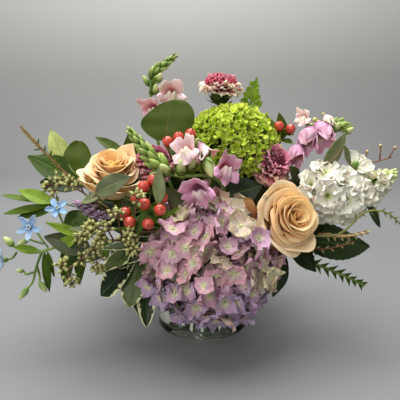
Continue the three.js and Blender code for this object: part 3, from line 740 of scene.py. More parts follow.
def dome_places(count, across, front, spread, rng):
    """Evenly spread places on a dome about +Z: each is (place, outward way, share from the crown)."""
    out = []
    for i in range(count):
        t = (i + 0.5) / count
        off_crown = math.acos(1 - t * (1 - math.cos(math.radians(spread))))
        turn = i * GOLDEN + rng.uniform(-0.12, 0.12)
        side = math.sin(off_crown)
        way = Vector((side * math.cos(turn), side * math.sin(turn), math.cos(off_crown)))
        place = Vector((way.x * across, way.y * across, way.z * front))
        outward = Vector((way.x / across, way.y / across, way.z / front)).normalized()
        out.append((place, outward, t))
    return out


def hydrangea(name, node, slot, finish, centre, facing, across, front, count, kinds, hue_at, root, size,
              tilt, layers, depth, spread=112, strays=()):
    """A hydrangea head: florets on a dome about its facing, in layers of (scale, share), on thin stalks."""
    rng = random.Random(len(name) * 31)
    piece = Piece()
    turn = aim(centre, facing)
    hub = Vector(root)
    arm = bead(1.0, 1.0, 4, 2, finish=2)
    stands = []
    for scale, share in layers:
        for place, outward, t in dome_places(int(count * share), across * scale, front * scale, spread,
                                             rng):
            stands.append((turn @ (place * rng.uniform(*depth)), (turn.to_3x3() @ outward).normalized(),
                           scale))
    stands += [(Vector(place), Vector(way), 1.0) for place, way in strays]
    for place, outward, scale in stands:
        lean = Vector((rng.uniform(-1, 1), rng.uniform(-1, 1), rng.uniform(-1, 1))) * tilt
        mesh = kinds[rng.randrange(len(kinds))]
        stand = aim(place, outward + lean, size=rng.uniform(*size), spin=rng.uniform(0, FULL_TURN))
        # Florets of the inner layers get a low tint that darkens them: painted shade deep inside the head.
        # The outer florets' tints vary at random.
        tint = rng.uniform(0.35, 1.0) if scale > 0.95 else rng.uniform(0.0, 0.25)
        piece.add_copy(mesh, stand, tint, hue_at(place, rng))
        reach = place - hub
        way = Matrix.Translation(hub) @ UP.rotation_difference(reach).to_matrix().to_4x4()
        piece.add_copy(arm, way @ Matrix.Diagonal((ARM_RADIUS, ARM_RADIUS, reach.length, 1)), 0.4)
    clear_away([arm])
    piece.done(name, [finish, EYE, STEM], slot, node)


MAUVE_CENTRE = (8, -68, 93)


def mauve_hue(place, rng):
    """Lavender low down, warm pink at the middle left, greenish cream high on the right and at the rim."""
    x, z = place.x - MAUVE_CENTRE[0], place.z - MAUVE_CENTRE[2]
    warm = 0.52 + 0.28 * math.exp(-((x + 14) ** 2 + (z - 4) ** 2) / 700)
    low = clamp((-z - 2) / 36)
    value = warm * (1 - low) + 0.1 * low + rng.uniform(-0.14, 0.14)
    green = math.exp(-((x - 26) ** 2 + (z - 40) ** 2) / 400)
    green += math.exp(-((x - 54) ** 2 + (z + 18) ** 2) / 300)
    if rng.random() < 0.12 + 0.45 * green:
        value = rng.uniform(0.84, 1.0)
    return clamp(value)


def lime_hue(place, rng):
    """Darker green low down, yellower on top."""
    return clamp(0.28 + (place.z - 190) / 55 + rng.uniform(-0.28, 0.28))


MAUVE_STRAYS = [  # florets that stand out of the dome: place and facing
    ((-46, -92, 108), (-0.3, -0.9, 0.35)), ((-50, -86, 75), (-0.6, -0.8, 0.0)),
    ((52, -84, 82), (0.6, -0.8, 0.1)), ((62, -80, 87), (0.8, -0.6, 0.1)), ((66, -76, 96), (0.7, -0.7, 0.3)),
    ((30, -104, 134), (0.2, -0.8, 0.6)), ((14, -106, 138), (-0.1, -0.7, 0.7)),
    ((46, -96, 122), (0.5, -0.8, 0.4)), ((-38, -92, 66), (-0.6, -0.7, -0.3)),
    ((-26, -100, 130), (-0.3, -0.8, 0.5)), ((22, -94, 48), (0.1, -0.9, -0.3)),
    ((-6, -90, 44), (-0.2, -0.8, -0.6)), ((40, -92, 56), (0.5, -0.7, -0.5)),
]


def make_hydrangeas():
    rng = random.Random(5)
    big = [floret(4, 11.0, 12.0, rng, steps=(4, 5)) for _ in range(12)]
    hydrangea("mauve_hydrangea", "hydrangea_pink_head", "mauve_petals", MAUVE, MAUVE_CENTRE,
              (0, -0.95, 0.3), 56, 43, 124, big, mauve_hue, (5, -52, 108), size=(0.82, 1.22), tilt=0.72,
              layers=((1.0, 1.0), (0.84, 0.75), (0.66, 0.3)), strays=MAUVE_STRAYS, depth=(0.88, 1.07))
    small = [
        floret(4, 4.9, 5.2, rng, steps=(2, 2), thick=0.3, eye=0, cups=(0.1, 1.1), folds=(-0.3, 0.5),
               end=0.5) for _ in range(12)
    ]
    hydrangea("lime_hydrangea", "hydrangea_green_head", "lime_petals", LIME, (30, 5, 192), (0, -0.25, 0.95),
              45, 41, 580, small, lime_hue, (28, 4, 178), size=(0.75, 1.2), tilt=0.8,
              layers=((1.0, 1.0), (0.86, 0.4)), spread=110, depth=(0.93, 1.05))
    clear_away(big + small)


# ---- roses -----------------------------------------------------------------------------------------------
def rose_petal(theta, t, rng, ring=None, rim=None, roll=None, spread=None, point=0.0):
    """One rose petal about +Z; t runs from 0 at the heart to 1 outside. Its upper part rolls outwards."""
    base, edge_long, body_share = -24.0, 12.0, 0.66
    hip = 1.5 + 8 * t
    ring = 2.4 + 16.5 * t**0.9 if ring is None else ring
    rim = 13 + 9 * math.sin(min(1.0, t * 1.6) * math.pi / 2) - 17 * t**1.6 if rim is None else rim
    roll = 0.25 + 2.7 * t**1.2 if roll is None else roll
    spread = math.radians(92 - 30 * t if spread is None else spread)
    seed = rng.random() * 60

    def shape(u, v):
        reach = v * (1 - 0.17 * u**4 - 0.05 * u * u)
        body = min(1.0, reach / body_share)
        edge = max(0.0, (reach - body_share) / 0.34)
        width = 0.3 + 0.7 * math.sin(min(1.0, v * 1.3) * math.pi / 2)
        angle = theta + spread * u * width
        bend = max(0.05, roll * (0.62 + 0.75 * u * u))
        swell = math.sin(body * math.pi / 2)
        radius = hip + (ring - hip) * swell + 1.3 * u
        length = edge_long * edge
        height = base + (rim - edge_long * 0.7 - base) * body
        if edge > 0:
            radius += length * (1 - math.cos(bend * edge)) / (bend * edge)
            height += length * math.sin(bend * edge) / (bend * edge)
        height += point * edge * edge * (1 - abs(u)) ** 1.5
        ripple = noise.noise(Vector((u * 1.8 + seed, v * 1.6, seed * 0.7))) * (0.5 + 2.4 * edge)
        fine = noise.noise(Vector((u * 6 + seed, 0, seed))) * 0.9 * edge**3
        radius += ripple
        return (radius * math.cos(angle), radius * math.sin(angle), height + ripple * 0.5 + fine)

    return shape


ROSE_PETALS = 22


def rose(name, node, centre, facing, spin, size, seed, guards=(), extra=None):
    """A rose: a spiral of petals, guard petals placed one by one, sepals and a hip."""
    rng = random.Random(seed)
    piece = Piece()
    turn = aim(centre, facing, size=size)
    for i in range(ROSE_PETALS):
        t = i / (ROSE_PETALS - 1)
        shape = rose_petal(spin + i * GOLDEN + rng.uniform(-0.15, 0.15), t, rng,
                           point=rng.uniform(0, 2) * t)
        hue = clamp(0.05 + 0.9 * t + rng.uniform(-0.08, 0.08))
        steps = (12, 14) if t < 0.4 else (16, 18)
        piece.add(sheet(shape, *steps, 0.55, tint=rng.uniform(0.55, 0.95), hue=hue), turn)
    for angle, ring, rim, roll, spread, point in guards:
        shape = rose_petal(math.radians(angle), 1.0, rng, ring, rim, roll, spread, point)
        piece.add(sheet(shape, 18, 20, 0.6, tint=0.9, hue=rng.uniform(0.75, 1.0)), turn)
    for k, out in enumerate(spokes(5)):
        mesh = leaf_mesh(out * 5 + UP * -25, out * 27 + UP * -30, 7, UP, arch=5, seed=k, finish=1,
                         steps=(4, 8), tint=0.4)
        piece.add(mesh, turn)
    hip = bead(9, 6, 12, 6, tint=0.4, finish=2)
    piece.add(hip, turn @ Matrix.Translation((0, 0, -31)))
    if extra:
        piece.add(extra)
    piece.done(name, [PEACH, FRESH_LEAF, STEM, DRY], "peach_petals", node)


def make_roses():
    dry = leaf_mesh((48, -70, 126), (34, -84, 154), 11, (-0.5, -0.8, 0.3), fold=-0.9, wave=0.3, seed=4,
                    finish=3, steps=(8, 12), tint=0.7)
    rose("rose_right", "rose_right_head", (77, -62, 131), (0.34, -0.86, 0.3), 0.6, 1.07, 11,
         guards=((172, 26, 8, 2.4, 62, 2), (225, 26, 9, 2.0, 58, 3), (275, 25, 6, 1.3, 52, 9),
                 (120, 25, 8, 2.4, 58, 0)),
         extra=dry)
    rose("rose_left", "rose_left_head", (-88, -38, 169), (0.14, -0.5, 0.85), 2.1, 0.98, 23,
         guards=((200, 26, 1, 2.0, 52, 5), (235, 27, 4, 1.8, 56, 4), (285, 25, 4, 1.8, 50, 2),
                 (25, 20, 17, 0.8, 50, 8)))
    rose("rose_back", "rose_back_head", (-26, 87, 170), (-0.1, 0.75, 0.65), 4.0, 1.0, 37)


# ---- scabiosas -------------------------------------------------------------------------------------------
def scabiosa(name, node, centre, facing, size, seed, pale, eye):
    """A scabiosa: a frilled skirt, a dark band of buds and a crown, domed or open round a dark eye."""
    rng = random.Random(seed)
    piece = Piece()
    turn = aim(centre, facing, size=size)
    frills = [
        sheet(flat_petal(rng.uniform(9, 12), rng.uniform(7, 9), cup=rng.uniform(-0.3, 0.3), ruffle=5.5,
                         seed=rng.random() * 40, full=0.85, blunt=6), 5, 5, 0.35)
        for _ in range(6)
    ]
    points = [
        sheet(flat_petal(rng.uniform(5.5, 7.5), rng.uniform(3.0, 4.0), cup=0.3, fold=0.6, ruffle=2.2,
                         seed=rng.random() * 40, full=0.8), 3, 4, 0.3, finish=5)
        for _ in range(5)
    ]
    cup = bead(2.8, 1.1, 6, 3, tip=-0.5, finish=1)
    bell = bead(3.4, 1.3, 6, 4, tip=-0.7, finish=4)
    pin = bead(4.2, 0.4, 4, 3, tip=-1.2, finish=0)

    def put(mesh, place, way, face, tint, hue):
        stand = aim(place, face, way, size=rng.uniform(0.85, 1.2))
        tint = clamp(tint + rng.uniform(-0.2, 0.2), 0.999)
        piece.add_copy(mesh, turn @ stand, tint, clamp(hue + rng.uniform(-0.15, 0.15)))

    def ring(meshes, count, radius, height, rise, tint, hue):
        for k in range(count):
            out = spoke(FULL_TURN * (k + rng.uniform(-0.35, 0.35)) / count)
            place = out * (radius + rng.uniform(-0.9, 0.9)) + UP * (height + rng.uniform(-0.9, 0.9))
            way, face = raised(out, rise + rng.uniform(-0.3, 0.3))
            put(meshes[rng.randrange(len(meshes))], place, way, face, tint, hue)

    skirt = [(-2, 11, 17, -0.5), (0, 12, 19, -0.2), (2, 12, 19, 0.1), (4.5, 11, 17, 0.4)]
    for height, radius, count, rise in skirt if eye else skirt[1:]:
        ring(frills, count, radius, height, rise, 0.92, pale)
    for height, radius in ((5, 13.5), (7.5, 13)):
        for k in range(26):
            out = spoke(FULL_TURN * (k + rng.random() * 0.6) / 26) + UP * 0.45
            put(cup, out * radius * 0.85 + UP * height, UP, out, 0.3, 0.2)
    if eye:
        for height, radius, count, rise in ((10, 9, 24, 0.0), (12, 8.5, 26, 0.3), (13.5, 7.5, 24, 0.65)):
            ring(points, count, radius, height, rise, 0.97, 0.5)
        for place, outward, t in dome_places(60, 6.4, 3.4, 88, rng):
            put(pin if rng.random() < 0.2 else cup, place + UP * 13, UP, outward, 0.25, 0.6)
    else:
        for place, outward, t in dome_places(190, 14.5, 7.5, 95, rng):
            put(bell, place + UP * 8, Vector((0, 1, 0)), outward + UP * 0.3, 0.6, 0.3 + 0.3 * t)
        for a, high in ((0.1, 9), (2.9, 10), (4.4, 9), (5.7, 9), (1.6, 9)):
            for k in range(7):
                out = spoke(a + k * 0.11 - 0.3)
                put(points[k % 5], out * 11 + UP * (high + k % 3), out + UP * 0.9, UP - out * 0.9, 0.9,
                    0.72)
    core = bead(20, 10, 14, 8, finish=1, tint=0.1)
    piece.add(core, turn @ Matrix.Translation((0, 0, -6)))
    cup_leaf = bead(18, 10, 14, 8, tip=-0.15, finish=3, tint=0.05)
    piece.add(cup_leaf, turn @ Matrix.Translation((0, 0, -15)))
    for k, out in enumerate(spokes(13)):
        mesh = leaf_mesh(out * 4 + UP * -13, out * 15 + UP * (-6 - k % 3 * 3), 4.4, -UP, arch=3, seed=k,
                         finish=3, steps=(2, 6), tint=0.1)
        piece.add(mesh, turn)
    clear_away(frills + points + [cup, bell, pin])
    piece.done(name, [PLUM, BURGUNDY, FRESH_LEAF, DARK_LEAF, CROWN, PINK], "plum_petals", node)


def make_scabiosas():
    scabiosa("scabiosa_top", "scabiosa_top_head", (18, 14, 250), (0.06, -0.1, 1), 0.98, 3, 0.92, False)
    scabiosa("scabiosa_right", "scabiosa_right_head", (66, -16, 174), (0.42, -0.72, 0.56), 1.08, 8, 0.74,
             True)
    scabiosa("scabiosa_left", "scabiosa_left_head", (-50, -22, 174), (0.1, -0.55, 0.84), 1.02, 14, 0.66,
             True)


# ---- snapdragons -----------------------------------------------------------------------------------------
TUBE_SHARE = 0.42  # how much of a lip's length is the tube


def lip(turn, spread, lobes, reach, bend, rng, gape, hump=False):
    """One lip of a snapdragon bloom, from the foot of its tube to its lobes, with the swollen palate."""
    seed = rng.random() * 60

    def shape(u, v):
        tube = min(1.0, v / TUBE_SHARE)
        out = max(0.0, (v - TUBE_SHARE) / 0.58)
        lobe = abs(math.sin(math.pi * lobes * (u + 1) / 2)) ** 0.6
        size = reach * (0.3 + 0.7 * lobe)
        angle = turn + spread * u * (1.0 - 0.12 * out)
        radius = 2.4 + (gape - 2.4) * tube**1.4
        height = -17 + 17 * tube
        if out > 0:
            radius += size * (1 - math.cos(bend * out)) / bend
            height += size * math.sin(bend * out) / bend
        swell = 0.0
        if hump:
            swell = math.exp(-(((v - 0.54) / 0.15) ** 2)) * math.exp(-(((abs(u) - 0.2) / 0.3) ** 2))
        height += 5.5 * swell
        wave = noise.noise(Vector((u * 3.4 + seed, v * 2.6, seed)))
        fine = noise.noise(Vector((u * 9 + seed, v * 3, seed)))
        radius += (wave * 3.6 + fine * 1.4) * out
        height += (wave * 4.2 + fine * 2.0) * out
        inward = 8.0 * swell
        x = radius * math.cos(angle) - inward * math.cos(turn)
        y = radius * math.sin(angle) - inward * math.sin(turn)
        return (x, y, height)

    return shape


def snapdragon_bloom(rng, hood=1.25, skirt=2.2, long=14.5, gape=6.2):
    """One two-lipped bloom, mouth to +Z and upper lip to +Y; a small or negative bend keeps a lip shut."""
    piece = Piece()
    upper = lip(math.pi / 2, 1.7, 2, long, hood, rng, gape)
    lower = lip(-math.pi / 2, 1.8, 3, long * 0.83, skirt, rng, gape, hump=hood > 0)

    def upper_hue(u, v):
        return 0.42 + 0.12 * v

    def lower_hue(u, v):
        return 0.42 + 0.58 * math.exp(-(((v - 0.54) / 0.16) ** 2)) * math.exp(-((u / 0.6) ** 4))

    piece.add(sheet(upper, 24, 18, 0.5, tint=0.8, hue=upper_hue))
    piece.add(sheet(lower, 26, 20, 0.5, tint=0.9, hue=lower_hue))
    for k, out in enumerate(spokes(5)):
        mesh = leaf_mesh(out * 1 + UP * -18, out * 5.4 + UP * -9, 3.6, out, finish=1, steps=(2, 4),
                         tint=0.5, seed=k)
        piece.add(mesh)
    return piece.whole()


def bloom_copy(kind, shift):
    """The same bloom with its hues moved towards orchid or cream."""
    mesh = kind.copy()
    hues = mesh.attributes["hue"].data
    rows = np.zeros(len(mesh.vertices), np.float32)
    hues.foreach_get("value", rows)
    hues.foreach_set("value", np.clip(rows + shift, 0, 1))
    return mesh


SNAP_BLOOMS = {  # node: place, facing, size, hue shift, spin
    "snapdragon_top_bloom_upper": ((-32, -4, 246), (0.12, -0.97, 0.1), 0.98, 0.3, 0.0),
    "snapdragon_top_bloom_lower": ((-50, -2, 231), (-0.35, -0.85, -0.1), 0.95, 0.12, 0.2),
    "snapdragon_middle_bloom_left": ((-14, -72, 191), (-0.5, -0.7, 0.5), 1.0, 0.25, 0.4),
    "snapdragon_middle_bloom_centre": ((1, -66, 192), (0.5, -0.5, -0.7), 0.85, 0.35, 0.4),
    "snapdragon_middle_bloom_low": ((-3, -88, 162), (-0.4, -0.85, -0.25), 1.05, -0.05, 0.2),
    "snapdragon_middle_bloom_right": ((17, -75, 177), (0.55, -0.75, 0.2), 1.0, -0.02, -0.25),
    "snapdragon_right_bloom_low": ((95, -14, 188), (-0.45, -0.6, -0.5), 1.0, -0.02, 0.3),
    "snapdragon_right_bloom_mid": ((106, -12, 204), (-0.3, -0.65, -0.5), 1.12, 0.03, 0.2),
    "snapdragon_right_bloom_high": ((121, -8, 209), (0.2, -0.65, -0.55), 1.12, 0.0, -0.2),
}


def spike_buds(piece, route, start, count, big, small, rng):
    """Closed buds round a spike, from `start` of the way along it to its tip, ever smaller and closer."""
    path = smooth_route(route, PATH_STEPS)
    for k in range(count):
        share = k / (count - 1)
        t = start + (1.0 - start) * share**0.85
        i = min(PATH_STEPS - 1, max(1, int(t * PATH_STEPS)))
        ahead, side = spiral_side(path, i, k)
        size = big + (small - big) * share
        out = side * (0.75 - 0.4 * share) + ahead * (1.0 + 0.6 * share)
        foot = path[i] + side * 1.2
        bud = bead(size * 2.0, size * 0.48, 10, 8, tip=0.5, tint=rng.uniform(0.2, 0.9), finish=3)
        piece.add(bud, aim(foot, out))
        for turn in (-0.9, 0.9):
            wrap = side.copy()
            wrap.rotate(Matrix.Rotation(turn, 3, ahead))
            tip = foot + out.normalized() * size * 1.2 + wrap * size * 0.35
            piece.add(leaf_mesh(foot, tip, size * 0.6, wrap, seed=k, finish=1, steps=(2, 4), tint=0.3))


def big_bud(piece, place, facing, long):
    """A bud about to open, cream at its tip, in its four green sepals."""
    piece.add(bead(long, long * 0.28, 12, 9, tip=0.3, tint=0.8, finish=4), aim(place, facing))
    for side in spokes(4):
        mesh = leaf_mesh(UP * -1, side * long * 0.34 + UP * long * 0.5, long * 0.34, side, finish=1,
                         steps=(2, 4), tint=0.3)
        piece.add(mesh, aim(place, facing))


SNAP_SPIKES = {  # node: route, where the buds start, how many, biggest, smallest, opening buds
    "snapdragon_top_spike": (
        rooted(165, 20, [(-42, 14, 170), (-53, 11, 225), (-53, 9, 262), (-29, 10, 285)]), 0.74, 26, 6.6,
        2.6, [((-49, 4, 246), (0.1, -0.6, 0.9), 12), ((-46, 3, 258), (0.3, -0.6, 0.8), 11)]),
    "snapdragon_middle_spike": (
        rooted(-75, 16, [(19, -52, 152), (5, -66, 170), (-26, -70, 171), (-46, -66, 187), (-66, -61, 210)]),
        0.7, 30, 8.6, 3.4,
        [((-20, -70, 172), (0.05, -0.6, 0.9), 17), ((-30, -72, 172), (-0.5, -0.6, 0.7), 15),
         ((-36, -70, 167), (-0.9, -0.4, -0.1), 16), ((2, -74, 188), (0.3, -0.5, -0.9), 20),
         ((-12, -70, 176), (0.2, -0.6, 0.8), 14)]),
    "snapdragon_right_spike": (
        rooted(6, 32, [(68, 8, 150), (98, 4, 190), (128, 2, 213), (150, 1, 213)]), 0.84, 24, 6.6, 3.0,
        [((136, -2, 208), (0.2, -0.5, 0.9), 12), ((146, -2, 206), (0.5, -0.5, 0.5), 11)]),
}


def make_snapdragons():
    rng = random.Random(17)
    kinds = [snapdragon_bloom(rng) for _ in range(4)]
    hooded = [snapdragon_bloom(rng, bend, skirt, 16, 8.5) for bend,
              skirt in ((-0.9, 0.5), (-1.2, 0.3), (-0.7, 0.9))]
    for i, (node, (place, facing, size, shift, spin)) in enumerate(SNAP_BLOOMS.items()):
        piece = Piece()
        kind = hooded[i % 3] if "right_bloom" in node else kinds[i % 4]
        piece.add(bloom_copy(kind, shift), aim(place, facing, size=size, spin=spin))
        piece.done(node.replace("bloom", "flower"), [LILAC, FRESH_LEAF], "lilac_petals", node)
    for node, (route, start, count, big, small, opening) in SNAP_SPIKES.items():
        piece = Piece()
        piece.add(stalk(route, 2.2, 1.0, tint=0.5, finish=2))
        spike_buds(piece, route, start, count, big, small, rng)
        for place, facing, long in opening:
            big_bud(piece, place, facing, long)
            for turn in (-0.5, 0.5):
                tip = Vector(place) + Vector((8 * turn, -3, 5))
                piece.add(leaf_mesh(nearest(route, place), tip, 4, (0, -1, 0.3), finish=1, steps=(2, 5),
                                    tint=0.2))
        if node == "snapdragon_right_spike":
            piece.add(bloom_copy(hooded[0], 0.62), aim((128, -2, 220), (0.2, -0.6, -0.5), size=0.66))
            piece.add(bloom_copy(kinds[1], 0.35), aim((104, 0, 221), (-0.5, -0.6, 0.4), size=0.66))
        finishes = [LILAC, FRESH_LEAF, SNAP_STEM, BUD, PALE_BUD, CREAM_LIP]
        piece.done(node.replace("_spike", "_buds"), finishes, "green_stem", node)
    clear_away(kinds + hooded)


# ---- white stock -----------------------------------------------------------------------------------------
def stock_rosette(rng):
    """A double stock flower facing +Z: broad ruffled petals, the inner ones standing up."""
    piece = Piece()
    for i in range(9):
        t = i / 8
        length = 10 + 7 * t
        shape = flat_petal(length, length * 1.05, cup=rng.uniform(-0.45, 0.3),
                           fold=rng.uniform(-0.65, 0.65), ruffle=5.4, seed=rng.random() * 80, full=0.76,
                           blunt=3.4)
        mesh = sheet(shape, 8, 8, 0.45, tint=rng.uniform(0.6, 0.99), hue=rng.uniform(0.4, 1.0))
        out = spoke(i * GOLDEN)
        way, face = raised(out, math.radians(70 - 62 * t))
        piece.add(mesh, aim(out * 1.2, face, way))
    return piece.whole()


def half_open(rng):
    """A young stock flower on +Z: a green cup with a few upright petals."""
    piece = Piece()
    piece.add(bead(9, 2.5, 9, 6, tip=-0.2, tint=0.8, finish=1))
    for out in spokes(5):
        way, face = raised(out, math.radians(rng.uniform(35, 80)))
        shape = flat_petal(rng.uniform(9, 12), 8, cup=-0.1, fold=0.4, ruffle=3.5, seed=rng.random() * 50,
                           full=0.7)
        mesh = sheet(shape, 5, 5, 0.4, tint=0.9, hue=rng.uniform(0.1, 0.7))
        piece.add(mesh, aim(UP * 7 + out, face, way))
    return piece.whole()


STOCK_ROUTE = rooted(-12, 37, [(72, -16, 130), (118, -26, 146), (160, -25, 152), (194, -20, 168)])
STOCK_FLOWERS = [  # place, facing, size
    ((102, -44, 160), (-0.3, -0.8, 0.5), 1.0), ((98, -46, 142), (-0.4, -0.85, -0.1), 0.95),
    ((117, -52, 150), (0, -1, 0.15), 1.1), ((116, -40, 172), (-0.1, -0.6, 0.8), 1.05),
    ((134, -44, 165), (0.15, -0.75, 0.6), 1.0), ((136, -50, 146), (0.15, -0.95, 0.1), 1.1),
    ((122, -46, 131), (0, -0.8, -0.5), 1.0), ((142, -42, 130), (0.2, -0.8, -0.5), 0.95),
    ((153, -42, 151), (0.4, -0.85, 0.2), 1.0), ((168, -36, 147), (0.5, -0.8, -0.1), 0.75),
    ((125, -18, 158), (0.1, 0.6, 0.8), 0.9), ((145, -14, 150), (0.2, 0.9, 0.4), 0.9),
    ((118, -12, 142), (0, 1, 0), 0.9),
]


STOCK_BUDS = 30  # the first half of them half open
CROWN_PETALS = [  # the single flower above the spike: way, length, width
    ((-0.2, -0.2, 1), 17, 14), ((0.5, -0.3, 0.9), 15, 12), ((1, -0.2, 0.15), 20, 13),
    ((0.4, -0.9, 0.3), 13, 12), ((0, 0.8, 0.5), 14, 13),
]


def make_stock():
    rng = random.Random(29)
    kinds = [stock_rosette(rng) for _ in range(5)]
    young = [half_open(rng) for _ in range(4)]
    piece = Piece()
    for place, facing, size in STOCK_FLOWERS:
        way = Vector(facing).normalized()
        kind = kinds[rng.randrange(5)]
        piece.add_copy(kind, aim(Vector(place) - way * 3, facing, size=size, spin=rng.uniform(0, 6)))
        foot = nearest(STOCK_ROUTE, place)
        piece.add(stalk([foot, Vector(place) - way * 4], 1.2, 1.6, tint=0.6, finish=1))
    crown = Vector((154, -16, 174))
    piece.add(bead(13, 3.2, 9, 6, tip=-0.2, tint=0.9, finish=1), aim((150, -17, 168), (0.3, -0.3, 0.9)))
    for way, length, wide in CROWN_PETALS:
        shape = flat_petal(length, wide, cup=0.1, fold=0.3, ruffle=5, seed=length + wide)
        petal = sheet(shape, 8, 8, 0.5, tint=0.95, hue=0.8)
        piece.add(petal, aim(crown, (0.1, -0.9, 0.5), Vector(way).normalized()))
    piece.add(stalk([(158, -26, 152), (156, -20, 162), (151, -17, 169)], 1.2, 1.6, tint=0.7, finish=1))
    piece.done("stock_flowers", [WHITE, STEM], "white_petals", "stock_blooms")
    piece = Piece()
    piece.add(stalk(STOCK_ROUTE, 2.6, 1.2, tint=0.6))
    path = smooth_route(STOCK_ROUTE, PATH_STEPS)
    for k in range(STOCK_BUDS):
        t = k / (STOCK_BUDS - 1)
        i = int(98 + 20 * t)
        ahead, side = spiral_side(path, i, k)
        out = side * (1.0 - 0.5 * t) + ahead * (0.7 + 0.6 * t)
        if k < STOCK_BUDS // 2:
            stand = aim(path[i] + side * 2, out, size=0.95 - 0.3 * t, spin=rng.uniform(0, 6))
            piece.add_copy(young[k % 4], stand)
        else:
            long = 13 - 7 * (t - 0.5) * 2
            bud = bead(long, long * 0.27, 9, 7, tip=0.2, tint=rng.uniform(0.6, 1.0), finish=2)
            piece.add(bud, aim(path[i] + side * 1.5, out))
    piece.done("stock_buds", [WHITE, STEM, PALE_BUD], "green_stem", "stock_spike")
    clear_away(kinds + young)


# ---- blue tweedia ----------------------------------------------------------------------------------------
TWEEDIA_ROUTE = rooted(-148, 38, [(-78, -52, 118), (-112, -56, 112), (-152, -60, 98), (-172, -60, 99)])
TWEEDIA_FLOWERS = {  # node: place, facing, foot of its stalk, size, hue
    "tweedia_flower_upper": ((-138, -52, 138), (0.3, -0.75, 0.5), (-128, -54, 112), 0.9, 0.2),
    "tweedia_flower_middle": ((-161, -61, 122), (-0.2, -0.95, 0.2), (-146, -60, 102), 1.05, 0.5),
    "tweedia_flower_outer": ((-189, -61, 90), (-0.8, -0.55, 0.1), (-176, -60, 97), 1.0, 0.6),
}
TWEEDIA_BRANCHES = [  # route, facing and size of the bud at its end
    ([(-152, -60, 98), (-158, -60, 84), (-163, -60, 68), (-168, -60, 62)], (-0.6, -0.1, -0.8), 15, 3.6),
    ([(-158, -60, 84), (-156, -60, 74), (-156, -61, 68)], (0.55, -0.1, -0.8), 12, 3.4),
    ([(-160, -60, 78), (-168, -61, 76), (-170, -61, 79)], (-0.8, -0.2, 0.2), 7, 2.6),
    ([(-172, -60, 99), (-178, -60, 103)], (-0.6, -0.2, 0.8), 13, 4.0),
    ([(-150, -60, 106), (-158, -60, 108), (-163, -60, 110)], (-0.85, -0.2, -0.35), 12, 3.0),
]
TWEEDIA_LEAVES = [  # base, tip, width, tint
    ((-150, -60, 97), (-149, -58, 55), 8, 0.2), ((-147, -60, 98), (-144, -56, 70), 5, 0.3),
    ((-154, -60, 98), (-178, -64, 104), 8, 0.8), ((-112, -57, 112), (-146, -62, 127), 9, 0.9),
    ((-118, -57, 110), (-100, -66, 124), 14, 0.6), ((-128, -58, 106), (-134, -56, 60), 13, 0.1),
    ((-116, -56, 111), (-119, -60, 64), 12, 0.1), ((-98, -55, 114), (-88, -72, 96), 13, 0.3),
    ((-136, -59, 104), (-118, -66, 112), 12, 0.7),
]


def make_tweedia():
    rng = random.Random(41)
    for node, (place, facing, root, size, hue) in TWEEDIA_FLOWERS.items():
        piece = Piece()
        turn = aim(place, facing, size=size, spin=rng.uniform(0, 1))
        for k in range(5):
            shape = flat_petal(12.5, 5.6, cup=rng.uniform(-0.05, 0.45), fold=0.35, ruffle=1.8,
                               seed=rng.random() * 50, full=0.55, blunt=3.4)
            mesh = sheet(shape, 4, 7, 0.5, tint=rng.uniform(0.4, 0.9),
                         hue=min(1.0, hue + rng.uniform(-0.2, 0.3)))
            spin = FULL_TURN * k / 5 + rng.uniform(-0.15, 0.15)
            piece.add(mesh, turn @ Matrix.Rotation(spin, 4, "Z"))
        for out in spokes(5, 0.5):
            knob = bead(3.2, 0.9, 6, 5, finish=1, tint=0.6)
            piece.add(knob, turn @ aim(out * 1.3, out * 0.2 + UP))
        back = Vector(place) - Vector(facing).normalized() * 5
        cup = bead(6.5, 2.4, 8, 6, tip=-0.3, finish=2, tint=0.7)
        piece.add(cup, aim(back, facing))
        middle = (Vector(root) + back) / 2 + Vector((0, 1, -1.5))
        piece.add(stalk([root, middle, back], 1.0, 1.1, tint=0.6, finish=2))
        piece.done(node.replace("flower", "star"), [SKY, BLUE_EYE, SNAP_STEM], "blue_petals", node)

    piece = Piece()
    piece.add(stalk(TWEEDIA_ROUTE, 2.2, 1.2, tint=0.6, swell=lambda t: 1 + 0.15 * math.sin(t * 40)))
    for route, facing, long, wide in TWEEDIA_BRANCHES:
        piece.add(stalk(route, 1.3, 0.9, tint=0.7))
        piece.add(bead(long, wide, 10, 8, tip=0.55, finish=1, tint=0.8), aim(route[-1], facing))
    for base, tip, width, tint in TWEEDIA_LEAVES:
        mesh = leaf_mesh(base, tip, width, (0.2, -0.9, 0.3), arch=3, wave=0.12, seed=width + tint, finish=2,
                         tint=tint)
        piece.add(mesh)
    piece.done("tweedia_sprig", [SNAP_STEM, PALE_BUD, FRESH_LEAF], "green_stem", "tweedia_stem")


# ---- berries ---------------------------------------------------------------------------------------------
def berry(rng):
    """One hypericum berry on +Z with its ring of sepals and its dark tip."""
    piece = Piece()
    piece.add(bead(11.5, 5.4, 14, 10, tip=0.12, tint=0.6))
    piece.add(bead(1.6, 0.7, 6, 4, finish=1), Matrix.Translation((0, 0, 11)))
    for k, out in enumerate(spokes(5)):
        mesh = leaf_mesh(UP * -0.5, out * 6.5 + UP * 1.5, 4.2, UP, arch=-0.5, seed=k + rng.random(),
                         finish=2, steps=(2, 4), tint=0.6)
        piece.add(mesh)
    return piece.whole()


